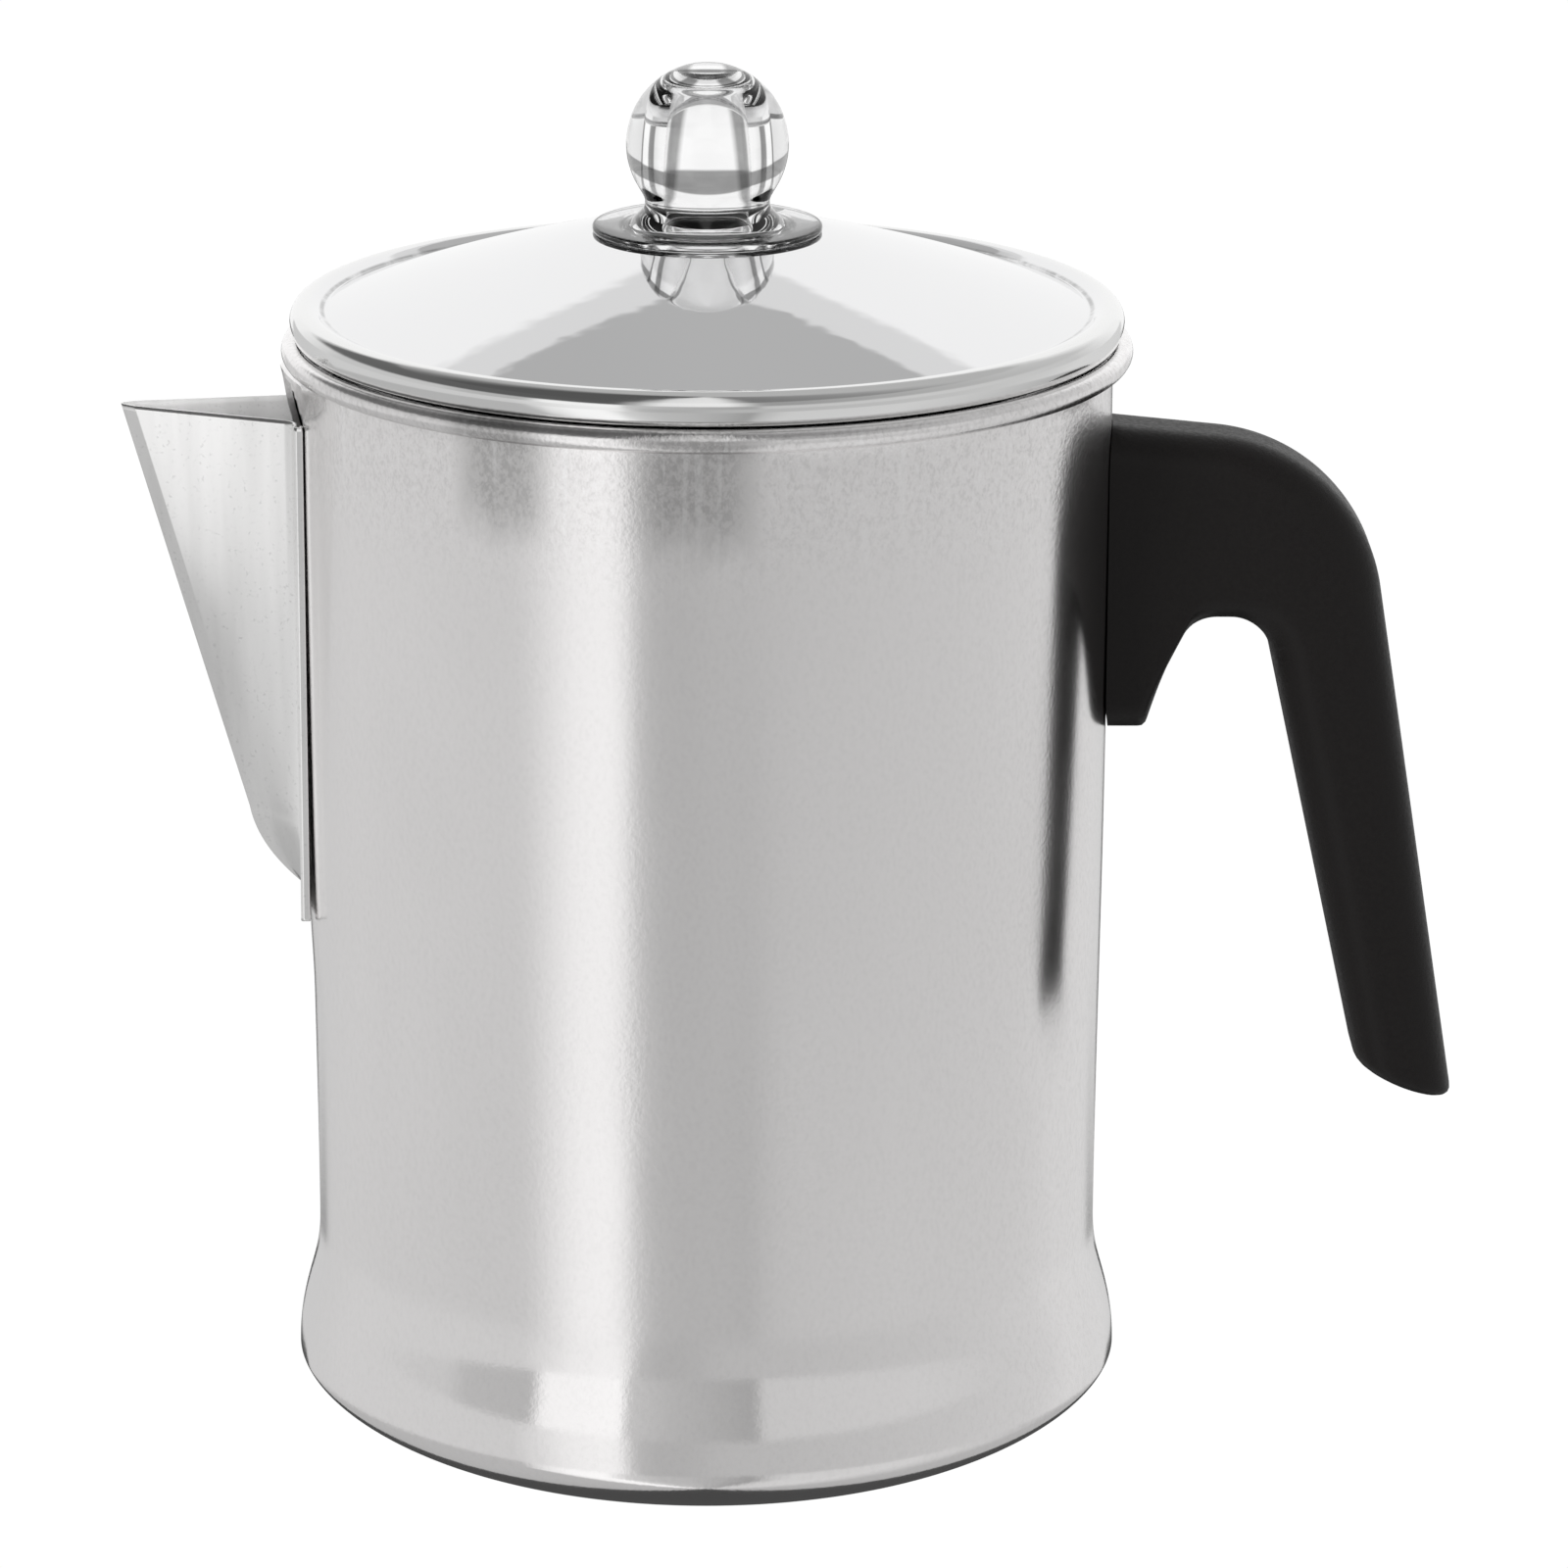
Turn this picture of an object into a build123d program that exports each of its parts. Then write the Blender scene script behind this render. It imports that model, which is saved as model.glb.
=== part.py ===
from build123d import *
import math
import os

# Stovetop coffee percolator. Millimetres, +Z up.
# Origin: centre of the flat base, on the surface that the pot stands on.
# The handle points along +X and the spout along -X.

# ---- driving dimensions: pot ----
SHEET = 1.0               # pot wall thickness
FLOOR = 1.5               # pot floor thickness
BASE_R = 45.5             # flat part of the base
FOOT_R = 63.5             # widest radius, at the bulged foot
FOOT_Z = 10.0
FOOT_POWER = 1.5          # how square the foot's lower corner is
FOOT_STEPS = 6            # points along the foot's corner
WAIST_R = 60.18
WAIST_Z = 30.9
MID_R = 60.82
MID_Z = 100.0
WALL_R = 61.07            # outer radius below the rim bead
WALL_TOP_Z = 165.0
BEAD_R = 1.75             # radius of the rolled bead's section
BEAD_CENTRE_R = 62.3
BEAD_Z = 168.1
BEAD_HOLLOW_R = 0.8
BEAD_FROM = -125          # where the wall enters the roll and where it leaves it, in degrees
BEAD_TO = 175
CUT = 5.0                 # how far a cutting shape runs past what it cuts

# ---- driving dimensions: spout ----
TIP_X = -88.4
TIP_Z = 159.0
KEEL_X = -70.1            # where the straight keel turns into the scoop
KEEL_Z = 95.9
SCOOP = ((-67.3, 89.6), (-64.4, 86.4), (-62.6, 83.6))
SPOUT_RIM_Z = 158.3       # rim height at the wall
NOSE_FLAT = 0.4           # half width of the nose's front edge
NOSE_DEPTH = 2.1          # the nose is bevelled over this depth
NOSE_HALF = 1.7           # half width where the bevel meets the side sheet
SPOUT_SHEET = 0.6
SIDE_FOOT_X = -62.3       # where the side sheet bends out to the seam
SIDE_FOOT_HALF = 8.8
SEAM_HALF = 11.6          # window edge, and near face of the wall's flange
FLANGE_SHEET = 0.8        # outward flange of the wall, inside the seam
FLANGE_X = -60.95
SEAM_GAP = 0.05
SEAM_LOW_Z = 81.2
FLANGE_ROOT = 4.0         # how far the flange's slab reaches into the wall and below the window
WINDOW_LOW_Z = 88.0
WINDOW_HIGH_Z = 163.0
FLANGE_TOP_Z = 156.0

# ---- driving dimensions: handle ----
HANDLE_HALF = 9.5
HANDLE_ROUND = 2.8        # rounding of the long edges
HANDLE_WALL_X = 59.0      # edges nearer the axis than this stay sharp
WALL_CLEARANCE = 0.1
SCREW_HEIGHTS = (122.0, 146.0)
SCREW_R = 1.95
SCREW_HEAD_R = 3.8
SCREW_HEAD_H = 2.2
SCREW_HEAD_ROUND = 1.0
SCREW_SLOT_W = 1.0
SCREW_SLOT_DEPTH = 1.0
SCREW_OVERLAP = 0.5       # shank's run into the head
SCREW_END_X = 67.0
WALL_HOLE_R = 2.2
WASHER_R = 5.0
WASHER_H = 0.8
WASHER_X = 57.6           # face of the washer that the screw head bears on
SEAL_H = 0.9
INSERT_R = 3.2
INSERT_BORE_R = 2.0
INSERT_START_X = 61.8
INSERT_END_X = 67.8

# ---- driving dimensions: lid ----
LID_SHEET = 0.8
SEAT_R = 18.0             # flat seat under the knob's flange
SEAT_Z = 185.6
CONE_MID_R = 37.8         # the cone is a little domed
CONE_MID_Z = 180.35
VALLEY_R = 57.6           # groove where the cone meets the rounded shoulder
VALLEY_Z = 174.0
SHOULDER_R = 60.2         # centre of the shoulder's rounding
SHOULDER_Z = 172.6
SHOULDER_ROUND = 2.5
SKIRT_IN = 0.2            # how far the skirt has turned in half way down
TUCK_R = 61.8             # lower end of the skirt
LID_REST_Z = 170.1        # underside that rests over the pot's bead
PLUG_R = 59.75
PLUG_LOW_Z = 162.0
LID_HOLE_R = 13.3
LUG_COUNT = 2
LUG_WIDTH = 8.0
NOTCH_ROOM = 0.6          # play round a lug in the lid's notch
UNLOCK_ANGLE = 60.0       # turn from locked to the lid's notches

# ---- driving dimensions: glass knob ----
KNOB_FLANGE_R = 17.25
KNOB_FLANGE_LOW_Z = 185.65
KNOB_FLANGE_TOP_Z = 186.85
KNOB_COLLAR_R = 10.4
KNOB_COLLAR_Z = 188.6
KNOB_COLLAR_SPREAD = 1.8  # how much wider the collar is on the flange
KNOB_NECK_R = 9.3
KNOB_NECK_Z = 190.2
BULB_R = 12.15
BULB_Z = 198.9
BULB_SHOULDER = -28       # where the neck meets the ball, in degrees below its middle
GLASS = 2.0
KNOB_BORE_R = 6.5
CAVITY_TOP_Z = 208.2      # the glass is thick round a tall narrow hollow
CAVITY_ROUND = 3.0
BAYONET_R = 12.9
BAYONET_BORE_R = 10.6
BAYONET_LOW_Z = 181.6
LUG_R = 15.6
LUG_LOW_Z = 182.2
LUG_TOP_Z = 184.4

# ---- driving dimensions: brewing parts ----
TUBE_R = 5.0
TUBE_BORE_R = 4.4
TUBE_LOW_Z = 7.4
TUBE_TOP_Z = 180.0
BELL_R = 27.0
BELL_LOW_Z = 1.6
BELL_SHOULDER_R = 19.0
BELL_SHOULDER_Z = 12.0
BELL_NECK_Z = 20.0
BELL_DOME_RISE = 3.0
THIN_SHEET = 0.8
FIT_GAP = 0.05            # fixed fit between pieces of one body
BELL_NOTCHES = 4
NOTCH_WIDTH = 5.0
NOTCH_HEIGHT = 2.0
FERRULE_R = 7.6
FERRULE_H = 4.0
STOP_R = 8.5
STOP_LOW_Z = 100.0
STOP_H = 3.5
EDGE_CHAMFER = 0.4
PLATE_R = 22.6
PLATE_Z = 4.0
PLATE_HOLE_R = 3.5
DISC_R = 6.5
DISC_Z = 4.9
DISC_CHAMFER = 0.15
BASKET_R = 49.0
BASKET_LOW_Z = 104.4
BASKET_TOP_Z = 152.0
BASKET_LIP_R = 51.0
BASKET_SHEET = 0.7
BASKET_CORNER_R = 5.0
BASKET_HOLE_R = 1.3
BASKET_HOLE_RINGS = ((14.0, 12), (22.0, 18), (30.0, 24), (38.0, 30))
SLEEVE_BORE_R = 5.35
SLEEVE_R = 6.05
SLEEVE_FLANGE_R = 9.0
SLEEVE_LOW_Z = 103.6
SLEEVE_TOP_Z = 149.0
SLEEVE_FLARE = 1.0        # height and width of the flare over the basket's floor
SPREADER_Z = 152.2
SPREADER_R = 50.6
SPREADER_SKIRT_R = 47.4
SPREADER_SKIRT_LOW_Z = 147.0
SPREADER_HOLE_R = 6.6
SPREADER_COLLAR_R = 7.3
SPREADER_COLLAR_TOP_Z = 156.0
SPREADER_PERFORATION_R = 1.0
SPREADER_HOLE_RINGS = ((13.0, 10), (21.0, 16), (29.0, 22), (37.0, 28))


# ---- small helpers ----
def edges_of(*pieces):
    """All edges of several lines, arcs and wires, in one list."""
    return [edge for piece in pieces for edge in piece.edges()]


def lathe(*pieces):
    """Solid of revolution about Z from lines drawn as (radius, height)."""
    return revolve(Plane.XZ * make_face(edges_of(*pieces)), Axis.Z)


def ring(outer_r, inner_r, low, high):
    """Flat-ended ring on the Z axis."""
    solid = Pos(0, 0, (low + high) / 2) * Cylinder(outer_r, high - low)
    hole = Pos(0, 0, (low + high) / 2) * Cylinder(inner_r, high - low + 2)
    return solid - hole


def block(low, high):
    """Box between two corners."""
    size = [high[i] - low[i] for i in range(3)]
    centre = [(high[i] + low[i]) / 2 for i in range(3)]
    return Pos(*centre) * Box(*size)


def rod_x(radius, start_x, end_x, height):
    """Cylinder along X at a height on the plane Y = 0."""
    centre = Pos((start_x + end_x) / 2, 0, height)
    return centre * Rot(0, 90, 0) * Cylinder(radius, end_x - start_x)


def holes(rings, radius, low, high):
    """Straight vertical holes on several circles."""
    cutter = Pos(0, 0, (low + high) / 2) * Cylinder(radius, high - low)
    return [place * cutter for r, count in rings for place in PolarLocations(r, count)]


# ---- pot ----
def foot_curve(inset, floor):
    """Lower corner of the pot, a superellipse from the base to the widest radius."""
    reach = FOOT_R - inset - BASE_R
    rise = FOOT_Z - floor
    points = []
    for step in range(FOOT_STEPS + 1):
        angle = math.radians(90 * step / FOOT_STEPS)
        across = math.sin(angle) ** (2 / FOOT_POWER)
        down = math.cos(angle) ** (2 / FOOT_POWER)
        points.append((BASE_R + reach * across, FOOT_Z - rise * down))
    return Spline(*points, tangents=[(1, 0), (0, 1)])


def wall_curve(inset):
    """Pot wall above the foot: in to the waist, then a slight taper outwards."""
    neck = Spline(
        (FOOT_R - inset, FOOT_Z),
        (WAIST_R - inset, WAIST_Z),
        tangents=[(0, 1), (0, 1)],
    )
    wall = Spline(
        (WAIST_R - inset, WAIST_Z),
        (MID_R - inset, MID_Z),
        (WALL_R - inset, WALL_TOP_Z),
        tangents=[(0, 1), (0, 1)],
    )
    return neck, wall


def bead_point(degrees):
    """Point on the rim bead's section; 0 points outwards and 90 up."""
    angle = math.radians(degrees)
    return (BEAD_CENTRE_R + BEAD_R * math.cos(angle), BEAD_Z + BEAD_R * math.sin(angle))


def pot_shell():
    """The drawn cup, with its wall led into the hollow roll that finishes the mouth."""
    base = Polyline((0, FLOOR), (0, 0), (BASE_R, 0))
    floor = Line((0, FLOOR), (BASE_R, FLOOR))
    outside = (foot_curve(0, 0), *wall_curve(0))
    inside = (foot_curve(SHEET, FLOOR), *wall_curve(SHEET))
    under_bead = Line((WALL_R, WALL_TOP_Z), bead_point(BEAD_FROM))
    middle = bead_point((BEAD_FROM + BEAD_TO) / 2)
    bead = ThreePointArc(bead_point(BEAD_FROM), middle, bead_point(BEAD_TO))
    mouth = Line(bead_point(BEAD_TO), (WALL_R - SHEET, WALL_TOP_Z))
    cup = lathe(base, floor, *outside, *inside, under_bead, bead, mouth)
    return cup - Pos(0, 0, BEAD_Z) * Torus(BEAD_CENTRE_R, BEAD_HOLLOW_R)


def seam_flange(side):
    """Outward flange of the wall beside the spout's window."""
    near = SEAM_HALF
    far = near + FLANGE_SHEET
    low_y, high_y = sorted((side * near, side * far))
    slab = block(
        (FLANGE_X, low_y, WINDOW_LOW_Z - FLANGE_ROOT),
        (-WALL_R + FLANGE_ROOT, high_y, FLANGE_TOP_Z),
    )
    core = Pos(0, 0, MID_Z) * Cylinder(MID_R - SHEET / 2, 2 * MID_Z)
    return slab - core


def make_pot_body():
    window = block(
        (-WALL_R - CUT, -SEAM_HALF, WINDOW_LOW_Z),
        (-WALL_R + 3 * CUT, SEAM_HALF, WINDOW_HIGH_Z),
    )
    body = pot_shell() - window
    body = body + seam_flange(1) + seam_flange(-1)
    for height in SCREW_HEIGHTS:
        body = body - rod_x(WALL_HOLE_R, WALL_R - CUT, WALL_R + CUT, height)
    return body


# ---- spout ----
def beak_section(height, keel_x, inset):
    """Plan of the beak at one height: bevelled nose, straight sides, open towards the pot."""
    depth = min(NOSE_DEPTH, (SIDE_FOOT_X - keel_x) / 2)
    share = depth / NOSE_DEPTH
    bevel_x = keel_x + depth
    bevel_y = NOSE_FLAT + (NOSE_HALF - NOSE_FLAT) * share
    slope = (SIDE_FOOT_HALF - bevel_y) / (SIDE_FOOT_X - bevel_x)
    step = inset * math.hypot(1, slope)
    foot_y = SIDE_FOOT_HALF - step
    half = (
        (keel_x + inset, NOSE_FLAT / 2 if inset else NOSE_FLAT),
        (bevel_x + inset, max(bevel_y + slope * inset - step, NOSE_FLAT / 2)),
        (SIDE_FOOT_X, foot_y),
        (SIDE_FOOT_X + CUT, foot_y),
    )
    corners = half + tuple((x, -y) for x, y in reversed(half))
    return Plane.XY.offset(height) * make_face(Polyline(*corners, close=True).edges())


def beak(inset, extra_top):
    """Solid beak: straight keel above, curved scoop below."""
    lean = (TIP_X - KEEL_X) / (TIP_Z - KEEL_Z)
    top_x = TIP_X + lean * extra_top
    sections = [beak_section(TIP_Z + extra_top, top_x, inset)]
    sections.append(beak_section(KEEL_Z, KEEL_X, inset))
    for x, z in SCOOP:
        if x + 2 * inset < SIDE_FOOT_X:
            sections.append(beak_section(z + inset, x, inset))
    return loft(sections, ruled=True)


def spout_apron():
    """Sheet on the wall round the beak's foot, from seam to seam."""
    half = SEAM_HALF - SEAM_GAP
    return block(
        (SIDE_FOOT_X, -half, SEAM_LOW_Z),
        (SIDE_FOOT_X + SPOUT_SHEET, half, SPOUT_RIM_Z),
    )


def seam_hem(side):
    """Edge of the spout sheet folded round the wall's flange."""
    inner = SEAM_HALF - SEAM_GAP - SPOUT_SHEET
    slot = (SEAM_HALF - SEAM_GAP, SEAM_HALF + FLANGE_SHEET + SEAM_GAP)
    outer = slot[1] + SPOUT_SHEET
    hem_y = sorted((side * inner, side * outer))
    slot_y = sorted((side * slot[0], side * slot[1]))
    hem_back = -WALL_R + CUT
    hem = block((SIDE_FOOT_X, hem_y[0], SEAM_LOW_Z), (hem_back, hem_y[1], SPOUT_RIM_Z))
    groove = block(
        (FLANGE_X - SEAM_GAP, slot_y[0], SEAM_LOW_Z - CUT),
        (hem_back + CUT, slot_y[1], SPOUT_RIM_Z + CUT),
    )
    return hem - groove


def above_rim():
    """Everything above the spout's rim, which rises a little towards the tip."""
    back_x = -WALL_R + 2 * CUT
    front_x = TIP_X - 2 * CUT
    top_z = TIP_Z + 4 * CUT
    side_view = make_face(
        Polyline(
            (back_x, SPOUT_RIM_Z),
            (SIDE_FOOT_X, SPOUT_RIM_Z),
            (TIP_X, TIP_Z),
            (front_x, TIP_Z),
            (front_x, top_z),
            (back_x, top_z),
            close=True,
        ).edges()
    )
    return extrude(Plane.XZ * side_view, amount=2 * SEAM_HALF, both=True)


def make_spout():
    """Beak shell, the apron round its foot, and a folded hem on each side."""
    skin = beak(0, CUT) + spout_apron()
    spout = skin - beak(SPOUT_SHEET, 2 * CUT) - above_rim()
    spout = spout + (seam_hem(1) + seam_hem(-1) - above_rim())
    wall = Pos(0, 0, MID_Z) * Cylinder(WALL_R + WALL_CLEARANCE, 2 * MID_Z)
    return spout - wall


# ---- handle ----
def handle_outline():
    """Side view of the handle as (X, Z) corners, each with its radius."""
    corners = (
        (58.0, 157.0, 0),         # top of the lug, behind the wall's face
        (98.7, 152.95, 28.0),     # arm turns down at the thumb rest
        (115.6, 48.8, 2.9),       # lower end of the grip
        (108.5, 50.0, 12.0),
        (100.2, 55.7, 3.0),
        (84.5, 126.9, 6.5),       # finger arch
        (73.3, 126.9, 6.0),
        (69.0, 117.8, 15.0),      # lug foot
        (66.6, 109.7, 1.2),
        (58.0, 109.7, 0),
    )
    points = [(x, z) for x, z, radius in corners]
    radii = [radius for x, z, radius in corners]
    return make_face(FilletPolyline(*points, radius=radii, close=True).edges())


def make_handle():
    solid = extrude(Plane.XZ * handle_outline(), amount=HANDLE_HALF, both=True)
    flanks = solid.faces().sort_by(Axis.Y)
    rims = flanks[0].edges() + flanks[-1].edges()
    rims = rims.filter_by(lambda edge: edge.center().X > HANDLE_WALL_X)
    solid = fillet(rims, HANDLE_ROUND)
    wall = Pos(0, 0, MID_Z) * Cylinder(WALL_R + WALL_CLEARANCE, 2 * MID_Z)
    solid = solid - wall
    for height in SCREW_HEIGHTS:
        solid = solid - rod_x(INSERT_R + FIT_GAP, WALL_R - CUT, INSERT_END_X + FIT_GAP, height)
    return solid


def make_handle_inserts():
    """Threaded brass inserts, shown with plain bores."""
    inserts = []
    for height in SCREW_HEIGHTS:
        body = rod_x(INSERT_R, INSERT_START_X, INSERT_END_X, height)
        bore = rod_x(INSERT_BORE_R, INSERT_START_X - CUT, INSERT_END_X + CUT, height)
        inserts.append(body - bore)
    return Compound(children=inserts)


def make_handle_screws():
    """Pan-head screws with a slot, put in from inside the pot."""
    screws = []
    head_x = WASHER_X - SCREW_HEAD_H
    for height in SCREW_HEIGHTS:
        head = rod_x(SCREW_HEAD_R, head_x, WASHER_X, height)
        head = fillet(head.edges().sort_by(Axis.X)[0], SCREW_HEAD_ROUND)
        slot = block(
            (head_x - CUT, -SCREW_HEAD_R - CUT, height - SCREW_SLOT_W / 2),
            (head_x + SCREW_SLOT_DEPTH, SCREW_HEAD_R + CUT, height + SCREW_SLOT_W / 2),
        )
        shank = rod_x(SCREW_R, WASHER_X - SCREW_OVERLAP, SCREW_END_X, height)
        screws.append(head - slot + shank)
    return Compound(children=screws)


def make_handle_washers():
    washers = []
    for height in SCREW_HEIGHTS:
        disc = rod_x(WASHER_R, WASHER_X, WASHER_X + WASHER_H, height)
        washers.append(disc - rod_x(WALL_HOLE_R, WASHER_X - CUT, WASHER_X + CUT, height))
    return Compound(children=washers)


def make_handle_seals():
    """Soft washers whose outer face follows the inside of the wall."""
    seals = []
    start = WASHER_X + WASHER_H
    inner_wall = Pos(0, 0, MID_Z) * Cylinder(MID_R - SHEET - FIT_GAP, 2 * MID_Z)
    for height in SCREW_HEIGHTS:
        disc = rod_x(WASHER_R, start, start + 2 * SEAL_H, height)
        disc = disc - rod_x(WALL_HOLE_R, start - CUT, start + CUT, height)
        seals.append(disc & inner_wall)
    return Compound(children=seals)


# ---- lid and knob ----
def shoulder_point(degrees, inset):
    """Point on the lid's rounded shoulder; 0 points outwards and 90 up."""
    angle = math.radians(degrees)
    reach = SHOULDER_ROUND - inset
    return (SHOULDER_R + reach * math.cos(angle), SHOULDER_Z + reach * math.sin(angle))


def lid_path(inset):
    """Outer or inner face of the lid's sheet, from the knob hole to the end of the plug."""
    rest_z = LID_REST_Z + inset
    rim = (SEAT_R, SEAT_Z - inset)
    valley = (VALLEY_R, VALLEY_Z - inset)
    flank = shoulder_point(0, inset)
    half_down = (flank[0] - SKIRT_IN, (SHOULDER_Z + rest_z) / 2)
    tuck = (TUCK_R - inset, rest_z)
    seat = Line((LID_HOLE_R, SEAT_Z - inset), rim)
    cone = ThreePointArc(rim, (CONE_MID_R, CONE_MID_Z - inset), valley)
    groove = Line(valley, shoulder_point(120, inset))
    shoulder = ThreePointArc(shoulder_point(120, inset), shoulder_point(60, inset), flank)
    skirt = ThreePointArc(flank, half_down, tuck)
    under = Polyline(tuck, (PLUG_R - inset, rest_z), (PLUG_R - inset, PLUG_LOW_Z))
    return seat, cone, groove, shoulder, skirt, under


def bayonet_notch():
    """Cut in the lid's hole that lets one lug of the knob through."""
    half = LUG_WIDTH / 2 + NOTCH_ROOM
    return block((0, -half, SEAT_Z - CUT), (LUG_R + NOTCH_ROOM, half, SEAT_Z + CUT))


def make_lid():
    hole_edge = Line((LID_HOLE_R, SEAT_Z), (LID_HOLE_R, SEAT_Z - LID_SHEET))
    plug_end = Line((PLUG_R, PLUG_LOW_Z), (PLUG_R - LID_SHEET, PLUG_LOW_Z))
    lid = lathe(*lid_path(0), plug_end, *lid_path(LID_SHEET), hole_edge)
    for index in range(LUG_COUNT):
        turn = UNLOCK_ANGLE + index * 360 / LUG_COUNT
        lid = lid - Rot(0, 0, turn) * bayonet_notch()
    return lid


def bulb_point(degrees):
    """Point on the outside of the knob's ball; 0 points outwards and 90 up."""
    angle = math.radians(degrees)
    return (BULB_R * math.cos(angle), BULB_Z + BULB_R * math.sin(angle))


def knob_outside():
    """Glass profile from the bayonet skirt over the flange and neck to the top of the bulb."""
    foot = (KNOB_COLLAR_R + KNOB_COLLAR_SPREAD, KNOB_FLANGE_TOP_Z)
    neck = (KNOB_NECK_R, KNOB_NECK_Z)
    skirt = Polyline(
        (BAYONET_R, BAYONET_LOW_Z),
        (BAYONET_R, KNOB_FLANGE_LOW_Z),
        (KNOB_FLANGE_R, KNOB_FLANGE_LOW_Z),
        (KNOB_FLANGE_R, KNOB_FLANGE_TOP_Z),
        foot,
    )
    collar = Spline(foot, (KNOB_COLLAR_R, KNOB_COLLAR_Z), neck, tangents=[(-1, 0.4), (0, 1)])
    angle = math.radians(BULB_SHOULDER)
    flare = Spline(
        neck,
        bulb_point(BULB_SHOULDER),
        tangents=[(0, 1), (-math.sin(angle), math.cos(angle))],
    )
    bulb = ThreePointArc(bulb_point(BULB_SHOULDER), bulb_point(30), bulb_point(90))
    return skirt, collar, flare, bulb


def knob_inside():
    """Hollow of the knob: wide bayonet bore, then a tall straight hollow with a rounded top."""
    turn_z = CAVITY_TOP_Z - CAVITY_ROUND
    turn_r = KNOB_BORE_R - CAVITY_ROUND
    middle = CAVITY_ROUND * math.sqrt(0.5)
    bore = Polyline(
        (BAYONET_BORE_R, BAYONET_LOW_Z),
        (BAYONET_BORE_R, KNOB_FLANGE_TOP_Z - GLASS),
        (KNOB_BORE_R, KNOB_FLANGE_TOP_Z),
        (KNOB_BORE_R, turn_z),
    )
    corner = ThreePointArc(
        (KNOB_BORE_R, turn_z),
        (turn_r + middle, turn_z + middle),
        (turn_r, CAVITY_TOP_Z),
    )
    ceiling = Line((turn_r, CAVITY_TOP_Z), (0, CAVITY_TOP_Z))
    return bore, corner, ceiling


def make_knob():
    end = Line((BAYONET_R, BAYONET_LOW_Z), (BAYONET_BORE_R, BAYONET_LOW_Z))
    top = Line((0, BULB_Z + BULB_R), (0, CAVITY_TOP_Z))
    knob = lathe(end, top, *knob_outside(), *knob_inside())
    band = ring(LUG_R, BAYONET_R - GLASS / 2, LUG_LOW_Z, LUG_TOP_Z)
    half = LUG_WIDTH / 2
    bar = block((BAYONET_BORE_R, -half, LUG_LOW_Z), (LUG_R + CUT, half, LUG_TOP_Z))
    for index in range(LUG_COUNT):
        knob = knob + (Rot(0, 0, index * 360 / LUG_COUNT) * bar & band)
    return knob


# ---- brewing parts ----
def make_stem_tube():
    return ring(TUBE_R, TUBE_BORE_R, TUBE_LOW_Z, TUBE_TOP_Z)


def bell_side(inset):
    """Bell profile from its rim to its neck round the tube."""
    neck_r = TUBE_R + FIT_GAP + THIN_SHEET - inset
    shoulder = (BELL_SHOULDER_R - inset, BELL_SHOULDER_Z - inset)
    dome_top = (neck_r, BELL_SHOULDER_Z + BELL_DOME_RISE - inset)
    flare = Line((BELL_R - inset, BELL_LOW_Z), shoulder)
    return flare, Line(shoulder, dome_top), Line(dome_top, (neck_r, BELL_NECK_Z))


def make_stem_bell():
    rim = Line((BELL_R, BELL_LOW_Z), (BELL_R - THIN_SHEET, BELL_LOW_Z))
    neck_r = TUBE_R + FIT_GAP
    top = Line((neck_r + THIN_SHEET, BELL_NECK_Z), (neck_r, BELL_NECK_Z))
    bell = lathe(rim, top, *bell_side(0), *bell_side(THIN_SHEET))
    half = NOTCH_WIDTH / 2
    notch = block((0, -half, 0), (BELL_R + CUT, half, BELL_LOW_Z + NOTCH_HEIGHT))
    for index in range(BELL_NOTCHES):
        bell = bell - Rot(0, 0, (index + 0.5) * 360 / BELL_NOTCHES) * notch
    return bell


def make_stem_ferrule():
    low = BELL_NECK_Z + FIT_GAP
    return chamfer(ring(FERRULE_R, TUBE_R + FIT_GAP, low, low + FERRULE_H).edges(), EDGE_CHAMFER)


def make_stem_stop():
    collar = ring(STOP_R, TUBE_R + FIT_GAP, STOP_LOW_Z, STOP_LOW_Z + STOP_H)
    return chamfer(collar.edges(), EDGE_CHAMFER)


def make_valve_plate():
    """Disc crimped inside the bell, with a central inlet under the loose valve disc."""
    return ring(PLATE_R, PLATE_HOLE_R, PLATE_Z, PLATE_Z + THIN_SHEET)


def make_valve_disc():
    disc = Pos(0, 0, DISC_Z + THIN_SHEET / 2) * Cylinder(DISC_R, THIN_SHEET)
    return chamfer(disc.edges(), DISC_CHAMFER)


def basket_cup():
    """Cup with a rounded corner and an outward lip."""
    side = BASKET_R
    inner_r = side - BASKET_SHEET
    inner_z = BASKET_LOW_Z + BASKET_SHEET
    under_lip_z = BASKET_TOP_Z - BASKET_SHEET
    outline = FilletPolyline(
        (0, BASKET_LOW_Z),
        (side, BASKET_LOW_Z),
        (side, under_lip_z),
        (BASKET_LIP_R, under_lip_z),
        (BASKET_LIP_R, BASKET_TOP_Z),
        (inner_r, BASKET_TOP_Z),
        (inner_r, inner_z),
        (0, inner_z),
        radius=[0, BASKET_CORNER_R, 0, 0, 0, 0, BASKET_CORNER_R - BASKET_SHEET, 0],
        close=True,
    )
    return lathe(outline)


def make_basket():
    low = BASKET_LOW_Z - BASKET_SHEET
    high = BASKET_LOW_Z + 2 * BASKET_SHEET
    centre = Pos(0, 0, BASKET_LOW_Z) * Cylinder(SLEEVE_R + FIT_GAP, 2 * CUT)
    return basket_cup() - centre - holes(BASKET_HOLE_RINGS, BASKET_HOLE_R, low, high)


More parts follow.
